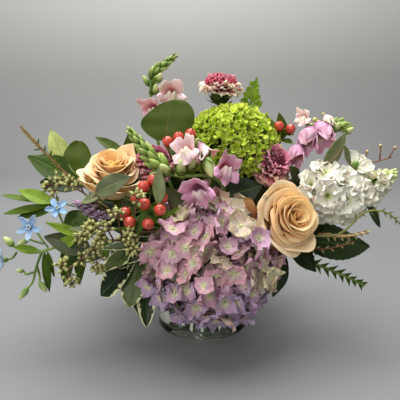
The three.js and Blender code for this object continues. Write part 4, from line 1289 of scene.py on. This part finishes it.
BERRY_SPRAYS = {  # node: route, berries by place and facing, leaves by base, tip and width
    "hypericum_left_spray": (
        rooted(-122, 37, [(-42, -66, 128), (-50, -78, 144)]),
        [
            ((-50, -92, 150), (0.1, -0.9, 0.4)), ((-37, -92, 145), (0.3, -0.9, 0.3)),
            ((-63, -92, 134), (-0.3, -0.9, 0.2)), ((-47, -94, 133), (0.1, -1, 0.1)),
            ((-52, -80, 163), (0, -0.5, 0.9)), ((-59, -80, 153), (-0.5, -0.7, 0.5)),
            ((-36, -80, 153), (0.5, -0.7, 0.5)), ((-68, -86, 141), (-0.7, -0.6, 0.3)),
            ((-44, -76, 168), (0.2, -0.4, 0.9)),
        ],
        [
            ((-50, -78, 144), (-24, -80, 138), 9), ((-48, -76, 140), (-30, -90, 128), 8),
            ((-50, -78, 144), (-58, -96, 122), 8), ((-46, -72, 136), (-34, -86, 158), 8),
            ((-44, -70, 132), (-70, -84, 128), 9), ((-42, -66, 128), (-22, -84, 146), 9),
        ],
    ),
    "hypericum_middle_spray": (
        rooted(-128, 15, [(-24, -28, 178), (-25, -32, 196)]),
        [((-33, -50, 200), (-0.4, -0.6, 0.7)), ((-12, -50, 207), (0.3, -0.6, 0.7)),
         ((-23, -50, 204), (0, -0.7, 0.7))],
        [((-24, -30, 190), (-36, -36, 196), 8), ((-24, -30, 188), (-12, -36, 198), 8)],
    ),
    "hypericum_right_spray": (
        rooted(24, 27, [(64, 20, 170), (84, 8, 200)]),
        [((79, 2, 214), (-0.2, -0.6, 0.8)), ((91, 2, 211), (0.3, -0.6, 0.7))],
        [((83, 8, 200), (80, 6, 228), 13), ((84, 8, 202), (92, -4, 198), 9),
         ((82, 8, 198), (66, 2, 226), 11)],
    ),
}


def make_berries():
    rng = random.Random(53)
    kinds = [berry(rng) for _ in range(2)]
    for node, (route, berries, leaves) in BERRY_SPRAYS.items():
        piece = Piece()
        piece.add(stalk(route, 1.7, 1.2, tint=0.4, finish=3))
        for place, facing in berries:
            way = Vector(facing).normalized()
            foot = Vector(place) - way * 6
            crown = Vector(route[-1])
            bend = (foot + crown) / 2 - way * 2
            piece.add(stalk([crown, bend, foot], 0.9, 0.8, sides=6, tint=0.4, finish=3))
            kind = kinds[rng.randrange(2)]
            piece.add_copy(kind, aim(foot, way, spin=rng.uniform(0, 6)), rng.uniform(0.35, 0.8))
        for base, tip, width in leaves:
            mesh = leaf_mesh(nearest(route, base), tip, width, (0, -0.6, 0.8), arch=2, seed=width + base[0],
                             finish=2, steps=(4, 8), tint=rng.uniform(0.1, 0.6))
            piece.add(mesh)
        piece.done(node.replace("spray", "berries"), [BERRY, BERRY_TIP, FRESH_LEAF, STEM], "coral_berry",
                   node)
    clear_away(kinds)


def seed_head(rng):
    """One eucalyptus seed capsule on +Z: a little urn with a flat cap and a nib."""
    piece = Piece()
    piece.add(bead(4.6, 1.5, 6, 5, tip=-0.3, tint=0.6))
    piece.add(bead(1.8, 1.0, 5, 3, tip=0.6, tint=0.9), Matrix.Translation((0, 0, 4.0)))
    return piece.whole()


SEED_SPRAYS = {  # node: route, clusters by where they branch off, where they end and how full they are
    "seeded_eucalyptus_upper": (
        rooted(-166, 38, [(-88, -34, 126), (-118, -34, 150), (-134, -32, 156), (-148, -33, 157)]),
        [
            ((-112, -34, 146), (-108, -36, 158), 8), ((-118, -34, 150), (-120, -36, 161), 11),
            ((-126, -33, 153), (-130, -40, 160), 9), ((-134, -32, 156), (-140, -36, 163), 9),
            ((-146, -33, 157), (-152, -34, 157), 8), ((-104, -34, 140), (-100, -46, 150), 8),
            ((-140, -32, 156), (-146, -38, 150), 7),
        ],
    ),
    "seeded_eucalyptus_lower": (
        rooted(-132, 40, [(-66, -72, 112), (-86, -88, 116), (-104, -86, 102), (-122, -82, 88)]),
        [
            ((-66, -72, 112), (-54, -99, 158), 9), ((-70, -80, 116), (-72, -97, 142), 8),
            ((-78, -84, 116), (-84, -95, 132), 11), ((-86, -88, 116), (-96, -92, 130), 12),
            ((-76, -82, 116), (-64, -97, 124), 10), ((-86, -88, 116), (-88, -97, 120), 11),
            ((-98, -88, 108), (-92, -92, 110), 11), ((-98, -88, 108), (-92, -88, 94), 10),
            ((-110, -85, 98), (-104, -88, 100), 8), ((-120, -82, 90), (-124, -84, 94), 9),
            ((-122, -82, 88), (-118, -84, 80), 10), ((-70, -78, 114), (-60, -98, 112), 9),
            ((-84, -88, 116), (-104, -92, 122), 10),
        ],
    ),
}


def make_seeds():
    rng = random.Random(61)
    kind = seed_head(rng)
    for node, (route, clusters) in SEED_SPRAYS.items():
        piece = Piece()
        piece.add(stalk(route, 1.4, 0.8, tint=0.5, finish=1))
        for root, place, count in clusters:
            root = nearest(route, root)
            place = Vector(place)
            bend = (root + place) / 2 + Vector((0, -1, 1.5))
            piece.add(stalk([root, bend, place], 0.75, 0.6, sides=6, tint=0.5, finish=1))
            out = (place - root).normalized()
            count = int(count * 1.35)
            for k in range(count):
                t = (k + 0.5) / count
                way = spoke(k * GOLDEN) * math.sqrt(t) + UP * (1.15 - t)
                way = (UP.rotation_difference(out + Vector((0, -0.35, 0))).to_matrix() @ way).normalized()
                foot = place - out * rng.uniform(0, 6) + way * rng.uniform(2.2, 5.2)
                piece.add(stalk([place - out * 3, foot], 0.4, 0.45, sides=5, tint=0.6, finish=1))
                piece.add_copy(kind, aim(foot, way, size=rng.uniform(0.85, 1.15)), rng.uniform(0.3, 1.0))
        piece.done(node.replace("eucalyptus", "gum"), [SEED, SEED_TWIG], "olive_seed", node)
    clear_away([kind])


# ---- foliage ---------------------------------------------------------------------------------------------
def leaf(base, tip, width, face, **more):
    """One line of the leaf table."""
    return base, tip, width, face, more


FOLIAGE = {  # node: leaf finish, bark, twig radius, route, leaves
    "eucalyptus_round_leaf": (OLIVE_LEAF, TWIG, 1.0,
                              rooted(-140, 11, [(-24, -24, 165), (-33, -40, 190), (-36, -42, 204)]), [
        leaf((-36, -42, 200), (-31, -38, 238), 49, (0.1, -0.95, 0.25), outline="round", wave=0.03,
             fold=0.06, arch=3, steps=(16, 22), tint=0.4, shear=0.42),
    ]),
    "eucalyptus_over_rose": (GREY_LEAF, SEED_TWIG, 0.9,
                             rooted(-140, 39, [(-60, -62, 118), (-84, -84, 146), (-97, -84, 154)]), [
        leaf((-93, -83, 158), (-62, -84, 172), 21, (-0.2, -0.8, 0.6), tint=0.25),
        leaf((-88, -84, 157), (-106, -84, 149), 9, (-0.2, -0.8, 0.6), tint=0.8),
    ]),
    "eucalyptus_low_left": (GREY_LEAF, SEED_TWIG, 1.0,
                            rooted(-154, 41, [(-76, -44, 106), (-104, -58, 104)]), [
        leaf((-106, -60, 100), (-148, -62, 113), 22, (-0.1, -0.8, 0.6), tint=0.05),
        leaf((-90, -62, 118), (-123, -66, 122), 9, (0, -0.6, 0.8), outline="narrow", tint=0.85),
        leaf((-86, -50, 106), (-112, -70, 90), 15, (0, -0.9, 0.3), tint=0.05),
        leaf((-80, -48, 106), (-80, -76, 84), 14, (0.2, -0.9, 0.3), tint=0.1),
    ]),
    "eucalyptus_narrow_leaf": (GREY_LEAF, SEED_TWIG, 1.0,
                               rooted(-112, 30, [(-26, -62, 130), (-36, -78, 170), (-38, -86, 180)]), [
        leaf((-38, -87, 181), (-37, -98, 151), 10.5, (0.2, -1, 0), outline="wide_tip", tint=0.75),
        leaf((-12, -58, 136), (-34, -76, 160), 20, (0.6, -0.7, 0.3), tint=0.4),
        leaf((-20, -60, 128), (-28, -88, 122), 16, (0.3, -0.8, 0.5), tint=0.1),
    ]),
    "eucalyptus_long_leaf": (CREAM_LEAF, SEED_TWIG, 1.1,
                             rooted(-130, 43, [(-42, -56, 106), (-52, -68, 110)]), [
        leaf((-51, -67, 110), (-98, -84, 86), 19, (-0.1, -0.6, 0.8), arch=4, outline="pointed", tint=0.9),
        leaf((-50, -64, 108), (-92, -84, 108), 12, (-0.1, -0.6, 0.8), tint=0.6),
        leaf((-46, -62, 108), (-58, -92, 118), 14, (0, -0.7, 0.7), tint=0.1),
        leaf((-46, -62, 107), (-66, -92, 98), 17, (0, -0.8, 0.6), tint=0.1),
    ]),
    "eucalyptus_right": (GREY_LEAF, SEED_TWIG, 0.8,
                         rooted(-4, 39, [(80, -10, 150), (118, -38, 178), (134, -34, 194)]), [
        leaf((116, -36, 172), (136, -34, 208), 15, (0.3, -0.9, 0.2), outline="pointed", tint=0.95),
        leaf((135, -34, 196), (146, -24, 176), 7, (0.3, -0.9, 0.2), outline="narrow", tint=0.9),
        leaf((96, -20, 160), (84, -34, 176), 12, (0.1, -0.9, 0.3), tint=0.1),
    ]),
    "salal_left": (FRESH_LEAF, STEM, 1.4, rooted(177, 37,
                                                 [(-84, 4, 138), (-128, -8, 162), (-140, -6, 174)]), [
        leaf((-128, -10, 158), (-178, -14, 186), 30, (0, -0.75, 0.65), arch=4, tint=0.1, steps=(8, 20)),
        leaf((-122, -12, 154), (-164, -22, 162), 28, (0, -0.6, 0.8), arch=5, tint=0.0, steps=(8, 20)),
        leaf((-142, -5, 172), (-159, 0, 211), 21, (0.1, -0.9, 0.4), arch=3, tint=0.9, steps=(8, 20),
             finish=2),
        leaf((-133, -8, 162), (-128, -4, 199), 31, (0, -0.7, 0.7), outline="round", tint=0.6, fold=0.06,
             steps=(10, 18), finish=3),
        leaf((-84, 8, 184), (-114, 8, 203), 13, (0.1, -0.7, 0.7), tint=0.3, finish=3),
        leaf((-60, 2, 122), (-106, -14, 140), 34, (0, -0.7, 0.7), tint=0.0, finish=4),
        leaf((-56, 0, 116), (-90, -26, 110), 32, (0, -0.8, 0.6), tint=0.1, finish=4),
        leaf((-66, 4, 126), (-124, -12, 126), 28, (0, -0.7, 0.7), tint=0.2, finish=4),
        leaf((-48, 0, 112), (-62, -26, 150), 34, (0, -0.95, 0.3), tint=0.1, finish=4),
        leaf((-46, -2, 112), (-42, -30, 130), 30, (0, -0.9, 0.5), tint=0.2, finish=4),
        leaf((-50, -6, 112), (-106, -24, 118), 32, (0, -0.8, 0.6), tint=0.1, finish=4),
        leaf((-70, 2, 130), (-120, -6, 152), 30, (0, -0.8, 0.6), tint=0.2, finish=4),
        leaf((-28, -16, 112), (-86, -30, 100), 30, (0, -0.8, 0.6), tint=0.1, finish=4),
    ]),
    "salal_right": (DARK_LEAF, STEM, 1.4, rooted(-24, 42, [(76, -34, 96), (104, -34, 98)]), [
        leaf((98, -36, 100), (172, -28, 96), 40, (0.1, -0.7, 0.7), arch=5, saw=0.06, steps=(12, 44),
             tint=0.25),
        leaf((74, -36, 95), (70, -66, 56), 34, (0.7, -0.6, 0.3), arch=4, tint=0.15, steps=(8, 20)),
        leaf((88, -34, 98), (112, -44, 72), 22, (0.3, -0.8, 0.4), tint=0.05),
        leaf((90, -34, 98), (120, -40, 122), 22, (0.1, -0.8, 0.6), tint=0.1),
    ]),
    "salal_centre": (DARK_LEAF, STEM, 1.3, rooted(-62, 28, [(28, -34, 128), (26, -36, 146)]), [
        leaf((18, -40, 146), (56, -42, 158), 30, (0.1, -0.9, 0.4), tint=0.0, steps=(8, 20)),
        leaf((26, -36, 142), (50, -44, 132), 24, (0.1, -0.9, 0.4), tint=0.0),
        leaf((26, -36, 144), (8, -44, 162), 20, (0.0, -0.9, 0.4), tint=0.1),
        leaf((24, -30, 122), (-16, -26, 154), 32, (0, -0.9, 0.4), tint=0.1),
        leaf((22, -28, 120), (58, -20, 142), 32, (0.1, -0.9, 0.4), tint=0.0),
        leaf((24, -20, 122), (52, 14, 168), 30, (0.1, -0.9, 0.4), tint=0.0),
        leaf((28, -26, 122), (104, -8, 160), 30, (0.1, -0.9, 0.4), tint=0.0),
        leaf((20, -28, 116), (-22, -34, 128), 28, (0, -0.8, 0.6), tint=0.2),
    ]),
    "variegated_pittosporum": (CREAM_LEAF, STEM, 1.4, rooted(-140, 44, [(-50, -46, 102), (-62, -58, 94)]), [
        leaf((-62, -57, 96), (-98, -68, 58), 31, (-0.5, -0.7, 0.4), arch=3, outline="wide_tip", wave=0.1,
             tint=0.0, steps=(8, 20)),
        leaf((-58, -57, 97), (-68, -84, 54), 25, (-0.2, -0.8, 0.5), arch=3, outline="wide_tip", wave=0.1,
             tint=0.8, steps=(8, 20)),
        leaf((-52, -50, 100), (-62, -64, 32), 27, (-0.4, -0.9, 0.1), arch=3, outline="wide_tip", wave=0.12,
             tint=0.0, steps=(8, 20)),
        leaf((-56, -54, 98), (-52, -84, 34), 18, (0.1, -0.9, 0.2), arch=2, outline="wide_tip", wave=0.1,
             tint=0.1, steps=(8, 20)),
        leaf((-54, -50, 100), (-84, -60, 84), 20, (-0.3, -0.7, 0.6), arch=3, outline="wide_tip", wave=0.1,
             tint=0.2),
    ]),
    "ruscus_left": (FRESH_LEAF, STEM, 1.0,
                    rooted(-170, 40, [(-92, -22, 122), (-132, -36, 138), (-150, -40, 141)]), [
        leaf((-149, -40, 141), (-194, -42, 149), 8, (0, -0.5, 0.8), outline="narrow", tint=0.4),
        leaf((-146, -41, 141), (-178, -42, 154), 14, (0, -0.7, 0.7), tint=0.8),
        leaf((-148, -42, 139), (-193, -44, 131), 9, (0, -0.7, 0.7), outline="narrow", tint=0.3),
        leaf((-144, -42, 137), (-180, -44, 127), 13, (0, -0.7, 0.7), tint=0.1),
        leaf((-122, -34, 132), (-98, -60, 116), 18, (0, -0.7, 0.7), tint=0.1),
        leaf((-120, -34, 132), (-134, -48, 112), 20, (0, -0.8, 0.5), tint=0.1),
        leaf((-104, -28, 126), (-112, -52, 140), 18, (0, -0.8, 0.5), tint=0.2),
    ]),
    "salal_back_left": (DARK_LEAF, STEM, 1.4, rooted(138, 40, [(-58, 52, 124), (-72, 64, 150)]), [
        leaf((-70, 62, 145), (-124, 78, 152), 40, (-0.3, 0.4, 0.85), arch=10, tint=0.4, steps=(8, 20)),
        leaf((-56, 50, 120), (-66, 112, 106), 40, (-0.2, 0.6, 0.75), arch=8, tint=0.2, steps=(8, 20)),
        leaf((-72, 64, 148), (-90, 62, 204), 38, (-0.4, 0.9, 0.2), arch=5, tint=0.5, steps=(8, 20)),
        leaf((-48, 42, 112), (-104, 56, 104), 36, (-0.5, 0.3, 0.8), arch=8, tint=0.3, steps=(8, 20)),
        leaf((-60, 54, 128), (-20, 60, 196), 36, (0.1, 0.95, 0.2), arch=4, tint=0.2, steps=(8, 20)),
        leaf((-54, 48, 116), (-24, 92, 112), 34, (0.1, 0.7, 0.6), arch=7, tint=0.1, steps=(8, 20)),
        leaf((-50, 40, 118), (-98, 24, 156), 36, (-0.2, -0.75, 0.6), arch=4, tint=0.2),
        leaf((-44, 32, 112), (-74, 16, 168), 34, (-0.1, -0.9, 0.3), arch=3, tint=0.1),
        leaf((-40, 28, 112), (-38, 12, 172), 34, (0, -0.95, 0.2), arch=3, tint=0.3),
        leaf((-48, 34, 110), (-112, 20, 124), 34, (-0.1, -0.6, 0.8), arch=6, tint=0.1),
        leaf((-42, 28, 108), (-92, 8, 100), 32, (-0.1, -0.5, 0.85), arch=6, tint=0.2),
        leaf((-36, 24, 112), (-10, 16, 166), 32, (0, -0.95, 0.2), arch=3, tint=0.1),
    ]),
    "salal_back_right": (DARK_LEAF, STEM, 1.4, rooted(52, 40, [(48, 60, 124), (60, 72, 150)]), [
        leaf((58, 70, 145), (112, 84, 150), 40, (0.3, 0.4, 0.85), arch=10, tint=0.3, steps=(8, 20)),
        leaf((46, 56, 120), (44, 118, 106), 40, (0.2, 0.6, 0.75), arch=8, tint=0.4, steps=(8, 20)),
        leaf((60, 72, 148), (70, 66, 204), 38, (0.4, 0.9, 0.2), arch=5, tint=0.2, steps=(8, 20)),
        leaf((38, 46, 110), (98, 60, 102), 36, (0.5, 0.3, 0.8), arch=8, tint=0.3, steps=(8, 20)),
        leaf((52, 64, 132), (12, 82, 160), 34, (-0.2, 0.9, 0.4), arch=5, tint=0.1, steps=(8, 20)),
        leaf((44, 54, 116), (6, 96, 112), 36, (-0.1, 0.7, 0.7), arch=7, tint=0.2, steps=(8, 20)),
        leaf((42, 40, 116), (88, 24, 154), 36, (0.2, -0.75, 0.6), arch=4, tint=0.2),
        leaf((38, 32, 112), (64, 16, 168), 34, (0.1, -0.9, 0.3), arch=3, tint=0.1),
        leaf((34, 26, 112), (30, 12, 172), 32, (0, -0.95, 0.2), arch=3, tint=0.3),
        leaf((44, 36, 110), (106, 24, 122), 34, (0.1, -0.6, 0.8), arch=6, tint=0.1),
        leaf((40, 30, 106), (92, 16, 98), 32, (0.1, -0.5, 0.85), arch=6, tint=0.2),
        leaf((30, 24, 112), (6, 14, 158), 30, (0, -0.95, 0.2), arch=3, tint=0.1),
        leaf((14, 24, 112), (-4, 10, 176), 36, (0, -0.95, 0.2), arch=3, tint=0.2),
    ]),
}
LEAF_SLOTS = {"salal": "dark_leaf", "ruscus": "dark_leaf", "variegated": "cream_edged_leaf",
              "eucalyptus": "grey_leaf"}


def make_foliage():
    for node, (finish, bark, radius, route, leaves) in FOLIAGE.items():
        piece = Piece()
        piece.add(stalk(route, radius * 1.1, radius * 0.7, tint=0.4, finish=1))
        for i, (base, tip, width, face, more) in enumerate(leaves):
            start, base = nearest(route, base), Vector(base)
            if (base - start).length > 2:
                end = base + (Vector(tip) - base) * 0.05
                piece.add(stalk([start, end], 0.8, 0.6, sides=6, tint=0.4, finish=1))
            piece.add(leaf_mesh(base, tip, width, face, seed=i * 2.7 + len(node), **more))
        slot = "dark_leaf" if node == "eucalyptus_round_leaf" else LEAF_SLOTS[node.split("_")[0]]
        piece.done(node + "_leaves", [finish, bark, PALE_LEAF, OLIVE_LEAF, DARK_LEAF], slot, node)


# ---- twigs and tips --------------------------------------------------------------------------------------
def make_twigs():
    rng = random.Random(71)

    def thorns(piece, route, start, end, count, long, wide, finish, droop=0.0, tint=0.5, outline="pointed"):
        path = smooth_route(route, 80)
        for k in range(count):
            t = start + (end - start) * k / max(1, count - 1)
            i = min(79, max(1, int(t * 80)))
            ahead = (path[i + 1] - path[i - 1]).normalized()
            side = ahead.cross(Vector((0, -1, 0))).normalized() * (1 if k % 2 else -1)
            out = side + ahead * 0.7 + Vector((0, -0.2, -droop))
            reach = long * (1.1 - 0.5 * k / count) * rng.uniform(0.8, 1.1)
            piece.add(leaf_mesh(path[i], path[i] + out.normalized() * reach, wide, (0, -1, 0.3), seed=k,
                                finish=finish, steps=(2, 4), tint=tint, thick=0.4, outline=outline))

    route = rooted(-178, 42, [(-88, -12, 136), (-126, -24, 158), (-160, -20, 190), (-181, -20, 214)])
    piece = Piece()
    piece.add(stalk(route, 1.5, 0.6, tint=0.6))
    thorns(piece, route, 0.7, 0.99, 40, 4.4, 1.2, 1, tint=0.75)
    thorns(piece, route, 0.8, 0.99, 46, 3.4, 1.4, 2, tint=0.6)
    thorns(piece, route, 0.7, 0.84, 8, 11, 1.8, 1, tint=0.2)
    piece.done("grevillea_twig", [TWIG, FRESH_LEAF, TAN_TWIG], "brown_twig", "grevillea_left_twig")

    route = rooted(-16, 44, [(78, -24, 88), (104, -34, 80), (134, -42, 70), (160, -44, 58)])
    piece = Piece()
    piece.add(stalk(route, 1.7, 1.1, tint=0.1))
    thorns(piece, route, 0.56, 1.0, 19, 11, 5.2, 1, tint=0.05, outline="tooth")
    thorns(piece, route, 0.56, 1.0, 19, 5, 5.6, 1, tint=0.15, outline="tooth")
    piece.done("thorny_twig", [STEM, FRESH_LEAF], "dark_leaf", "thorny_green_twig")

    route = rooted(-27, 40, [(88, -46, 110), (126, -58, 114), (150, -54, 134), (172, -52, 134),
                             (188, -50, 122)])
    piece = Piece()
    piece.add(stalk(route, 1.4, 0.8, tint=0.6))
    thorns(piece, route, 0.62, 0.99, 13, 7.5, 2.0, 0, tint=0.3, outline="tooth")
    low = [(110, -50, 112), (132, -60, 113), (156, -58, 117)]
    piece.add(stalk(low, 1.6, 0.7, tint=0.9, finish=1))
    thorns(piece, low, 0.1, 0.95, 14, 6.5, 3.6, 1, droop=0.7, tint=1.0, outline="tooth")
    lower = [(92, -44, 100), (116, -52, 98), (144, -54, 106)]
    piece.add(stalk(lower, 1.1, 0.6, tint=0.5, finish=2))
    thorns(piece, lower, 0.2, 0.95, 10, 5, 2.4, 1, droop=0.3, tint=0.6, outline="tooth")
    blade = leaf_mesh((162, -30, 142), (181, -24, 112), 9, (0.3, -0.9, 0.2), outline="narrow", seed=3,
                      finish=3, tint=0.3)
    piece.add(blade)
    piece.done("curled_twig", [MOSS_TWIG, TAN_TWIG, TWIG, DARK_LEAF], "brown_twig", "curled_brown_twig")

    route = rooted(4, 43, [(100, 2, 142), (150, -2, 168), (197, -2, 182)])
    piece = Piece()
    piece.add(stalk(route, 1.3, 0.7, tint=0.6))
    for root, tip in (((168, -2, 173), (170, -3, 186)), ((186, -2, 179), (184, -3, 192)),
                      ((194, -2, 181), (198, -3, 190)), ((158, -2, 170), (150, -4, 180))):
        piece.add(stalk([nearest(route, root), tip], 0.7, 0.6, sides=6, tint=0.6))
        piece.add(bead(4, 1.6, 7, 5, tint=0.8, finish=1), aim(tip, Vector(tip) - Vector(root)))
    piece.done("seed_twig_right", [TWIG, TAN_TWIG], "brown_twig", "brown_seed_twig")

    route = rooted(32, 20, [(52, 32, 190), (52, 28, 236), (55, 26, 256)])
    piece = Piece()
    piece.add(stalk(route, 1.2, 0.6, tint=0.7))
    for k in range(9):
        t = k / 8
        place = nearest(route, (52 + 3 * t, 28 - 2 * t, 230 + 26 * t))
        side = 1 if k % 2 else -1
        reach = 15 - 8 * t
        out = Vector((side, -0.15, 0.35 + 0.9 * t)).normalized()
        piece.add(leaf_mesh(place, place + out * reach, 10 - 4.5 * t, (0, -1, 0.2), outline="wide_tip",
                            wave=0.2, seed=k, finish=1, steps=(4, 6), tint=0.95))
    piece.add(leaf_mesh(route[-2], (58, 26, 266), 6, (0, -1, 0.2), outline="narrow", wave=0.2, finish=1,
                        tint=0.95))
    piece.done("fern_frond", [SNAP_STEM, FRESH_LEAF], "green_stem", "fern_tip")

    route = rooted(-152, 30, [(-60, -36, 124), (-96, -60, 132), (-110, -66, 146)])
    piece = Piece()
    piece.add(stalk(route, 1.0, 0.7, tint=0.4, finish=1))
    for k in range(40):
        t = k / 39
        base = nearest(route, Vector((-90, -58, 128)).lerp(Vector((-111, -66, 150)), t))
        a = k * GOLDEN
        out = Vector((math.cos(a), math.sin(a) * 0.8 - 0.4, 0.6)).normalized()
        shape = flat_petal(9, 6, cup=0.3, fold=0.5, ruffle=4, seed=k * 1.3)
        mesh = sheet(shape, 3, 4, 0.4, tint=rng.uniform(0.3, 0.95), hue=rng.random())
        piece.add(mesh, aim(base, UP + out * 0.3, out))
    piece.done("lavender_florets", [LAVENDER, STEM], "lavender_bud", "lavender_sprig")


# ---- stems -----------------------------------------------------------------------------------------------
STEMS = {
    "hydrangea_pink_stem": (3.4, rooted(-84, 37, [(5, -48, 110)])),
    "hydrangea_green_stem": (2.8, rooted(10, 14, [(27, 4, 176)])),
    "rose_right_stem": (2.9, rooted(-40, 36, [(62, -47, 121)])),
    "rose_left_stem": (2.9, rooted(-160, 35, [(-62, -21, 130), (-88, -28, 146)])),
    "rose_back_stem": (2.9, rooted(105, 26, [(-18, 62, 150), (-23, 80, 166)])),
    "scabiosa_top_stem": (1.6, rooted(48, 14, [(17, 18, 170), (17, 16, 236)])),
    "scabiosa_right_stem": (1.6, rooted(-12, 26, [(52, -6, 152), (61, -10, 166)])),
    "scabiosa_left_stem": (1.6, rooted(-172, 20, [(-40, -9, 135), (-54, -16, 162)])),
}


def make_stems():
    for node, (radius, route) in STEMS.items():
        piece = Piece()
        piece.add(stalk(route, radius, radius * 0.85, sides=12, tint=0.45))
        piece.done(node.replace("_stem", "_stalk"), [STEM], "green_stem", node)


make_vase()
make_water()
make_stems()
make_hydrangeas()
make_roses()
make_scabiosas()
make_snapdragons()
make_stock()
make_tweedia()
make_berries()
make_seeds()
make_foliage()
make_twigs()


# ---- floor, light and camera -----------------------------------------------------------------------------
SWEEP_PAINTED_LIGHT_AND_SHADE = [  # painted light and shade by height in metres: a darker band low on the curve, a lighter top
    (0.0, "828383"), (0.03, "828383"), (0.1, "747474"), (0.24, "7E7E7C"), (0.5, "A09F9C"), (1.0, "A6A5A3"),
]


def make_stage():
    """A pale floor that sweeps up into a backdrop, coloured by height with painted light and shade: a darker
    band low on the curve and a lighter top.
    """
    bm = bmesh.new()
    depth, height, corner = 0.66, 1.6, 0.34
    profile = [(-2.5, 0.0), (-0.5, 0.0), (depth - corner, 0.0)]
    for i in range(1, 13):
        a = math.radians(90 * i / 12)
        profile.append((depth - corner + corner * math.sin(a), corner - corner * math.cos(a)))
    profile.append((depth, height))
    verts = [bm.verts.new((-2.5, y, z)) for y, z in profile]
    edges = [bm.edges.new(pair) for pair in zip(verts, verts[1:])]
    made = bmesh.ops.extrude_edge_only(bm, edges=edges)["geom"]
    bmesh.ops.translate(bm, vec=(5, 0, 0), verts=[g for g in made if isinstance(g, bmesh.types.BMVert)])
    bmesh.ops.recalc_face_normals(bm, faces=bm.faces)
    for face in bm.faces:
        face.smooth = True
    mesh = bpy.data.meshes.new("sweep")
    bm.to_mesh(mesh)
    bm.free()
    material, tree, shader = new_material("pale_sweep_painted_light_and_shade")
    shader.inputs["Roughness"].default_value = 0.6
    place = tree.nodes.new("ShaderNodeTexCoord")
    parts = tree.nodes.new("ShaderNodeSeparateXYZ")
    tree.links.new(place.outputs["Object"], parts.inputs[0])
    # Base colour by height: painted shade in a band low on the curve, painted light higher up the backdrop.
    tree.links.new(ramp(tree, parts.outputs[2], SWEEP_PAINTED_LIGHT_AND_SHADE, "LINEAR"), shader.inputs["Base Color"])
    mesh.materials.append(material)
    placed("sweep", mesh)


def make_light(name, place, target, size, power):
    data = bpy.data.lights.new(name, "AREA")
    data.shape = "RECTANGLE"
    data.size, data.size_y = size
    data.energy = power
    light = placed(name, data)
    light.location = place
    light.rotation_euler = (Vector(target) - Vector(place)).to_track_quat("-Z", "Y").to_euler()


def make_studio():
    world = bpy.data.worlds.new("studio")
    world.use_nodes = True
    background = world.node_tree.nodes["Background"].inputs
    background["Color"].default_value = (1.0, 0.99, 0.97, 1)
    background["Strength"].default_value = 0.4
    bpy.context.scene.world = world
    make_light("overhead", (-0.07, 0.06, 1.1), (0, -0.02, 0.1), (1.1, 0.8), 17.0)
    make_light("front_left", (-0.7, -1.2, 0.85), (0, 0, 0.12), (0.9, 0.9), 8.5)
    make_light("back_wash", (-0.3, 0.3, 1.4), (-0.3, 0.75, 0.8), (1.4, 0.5), 6.0)
    bpy.context.scene.view_settings.view_transform = "Standard"


CAMERA = {"place": (-0.0034, -0.422, 0.2144), "pitch": 10.5, "lens": 36.09, "sensor": 36.0}


def make_camera():
    data = bpy.data.cameras.new("camera")
    data.lens = CAMERA["lens"]
    data.sensor_width = CAMERA["sensor"]
    camera = placed("camera", data)
    camera.location = CAMERA["place"]
    camera.rotation_euler = (math.radians(90 - CAMERA["pitch"]), 0, 0)
    bpy.context.scene.camera = camera


make_stage()
make_studio()
make_camera()
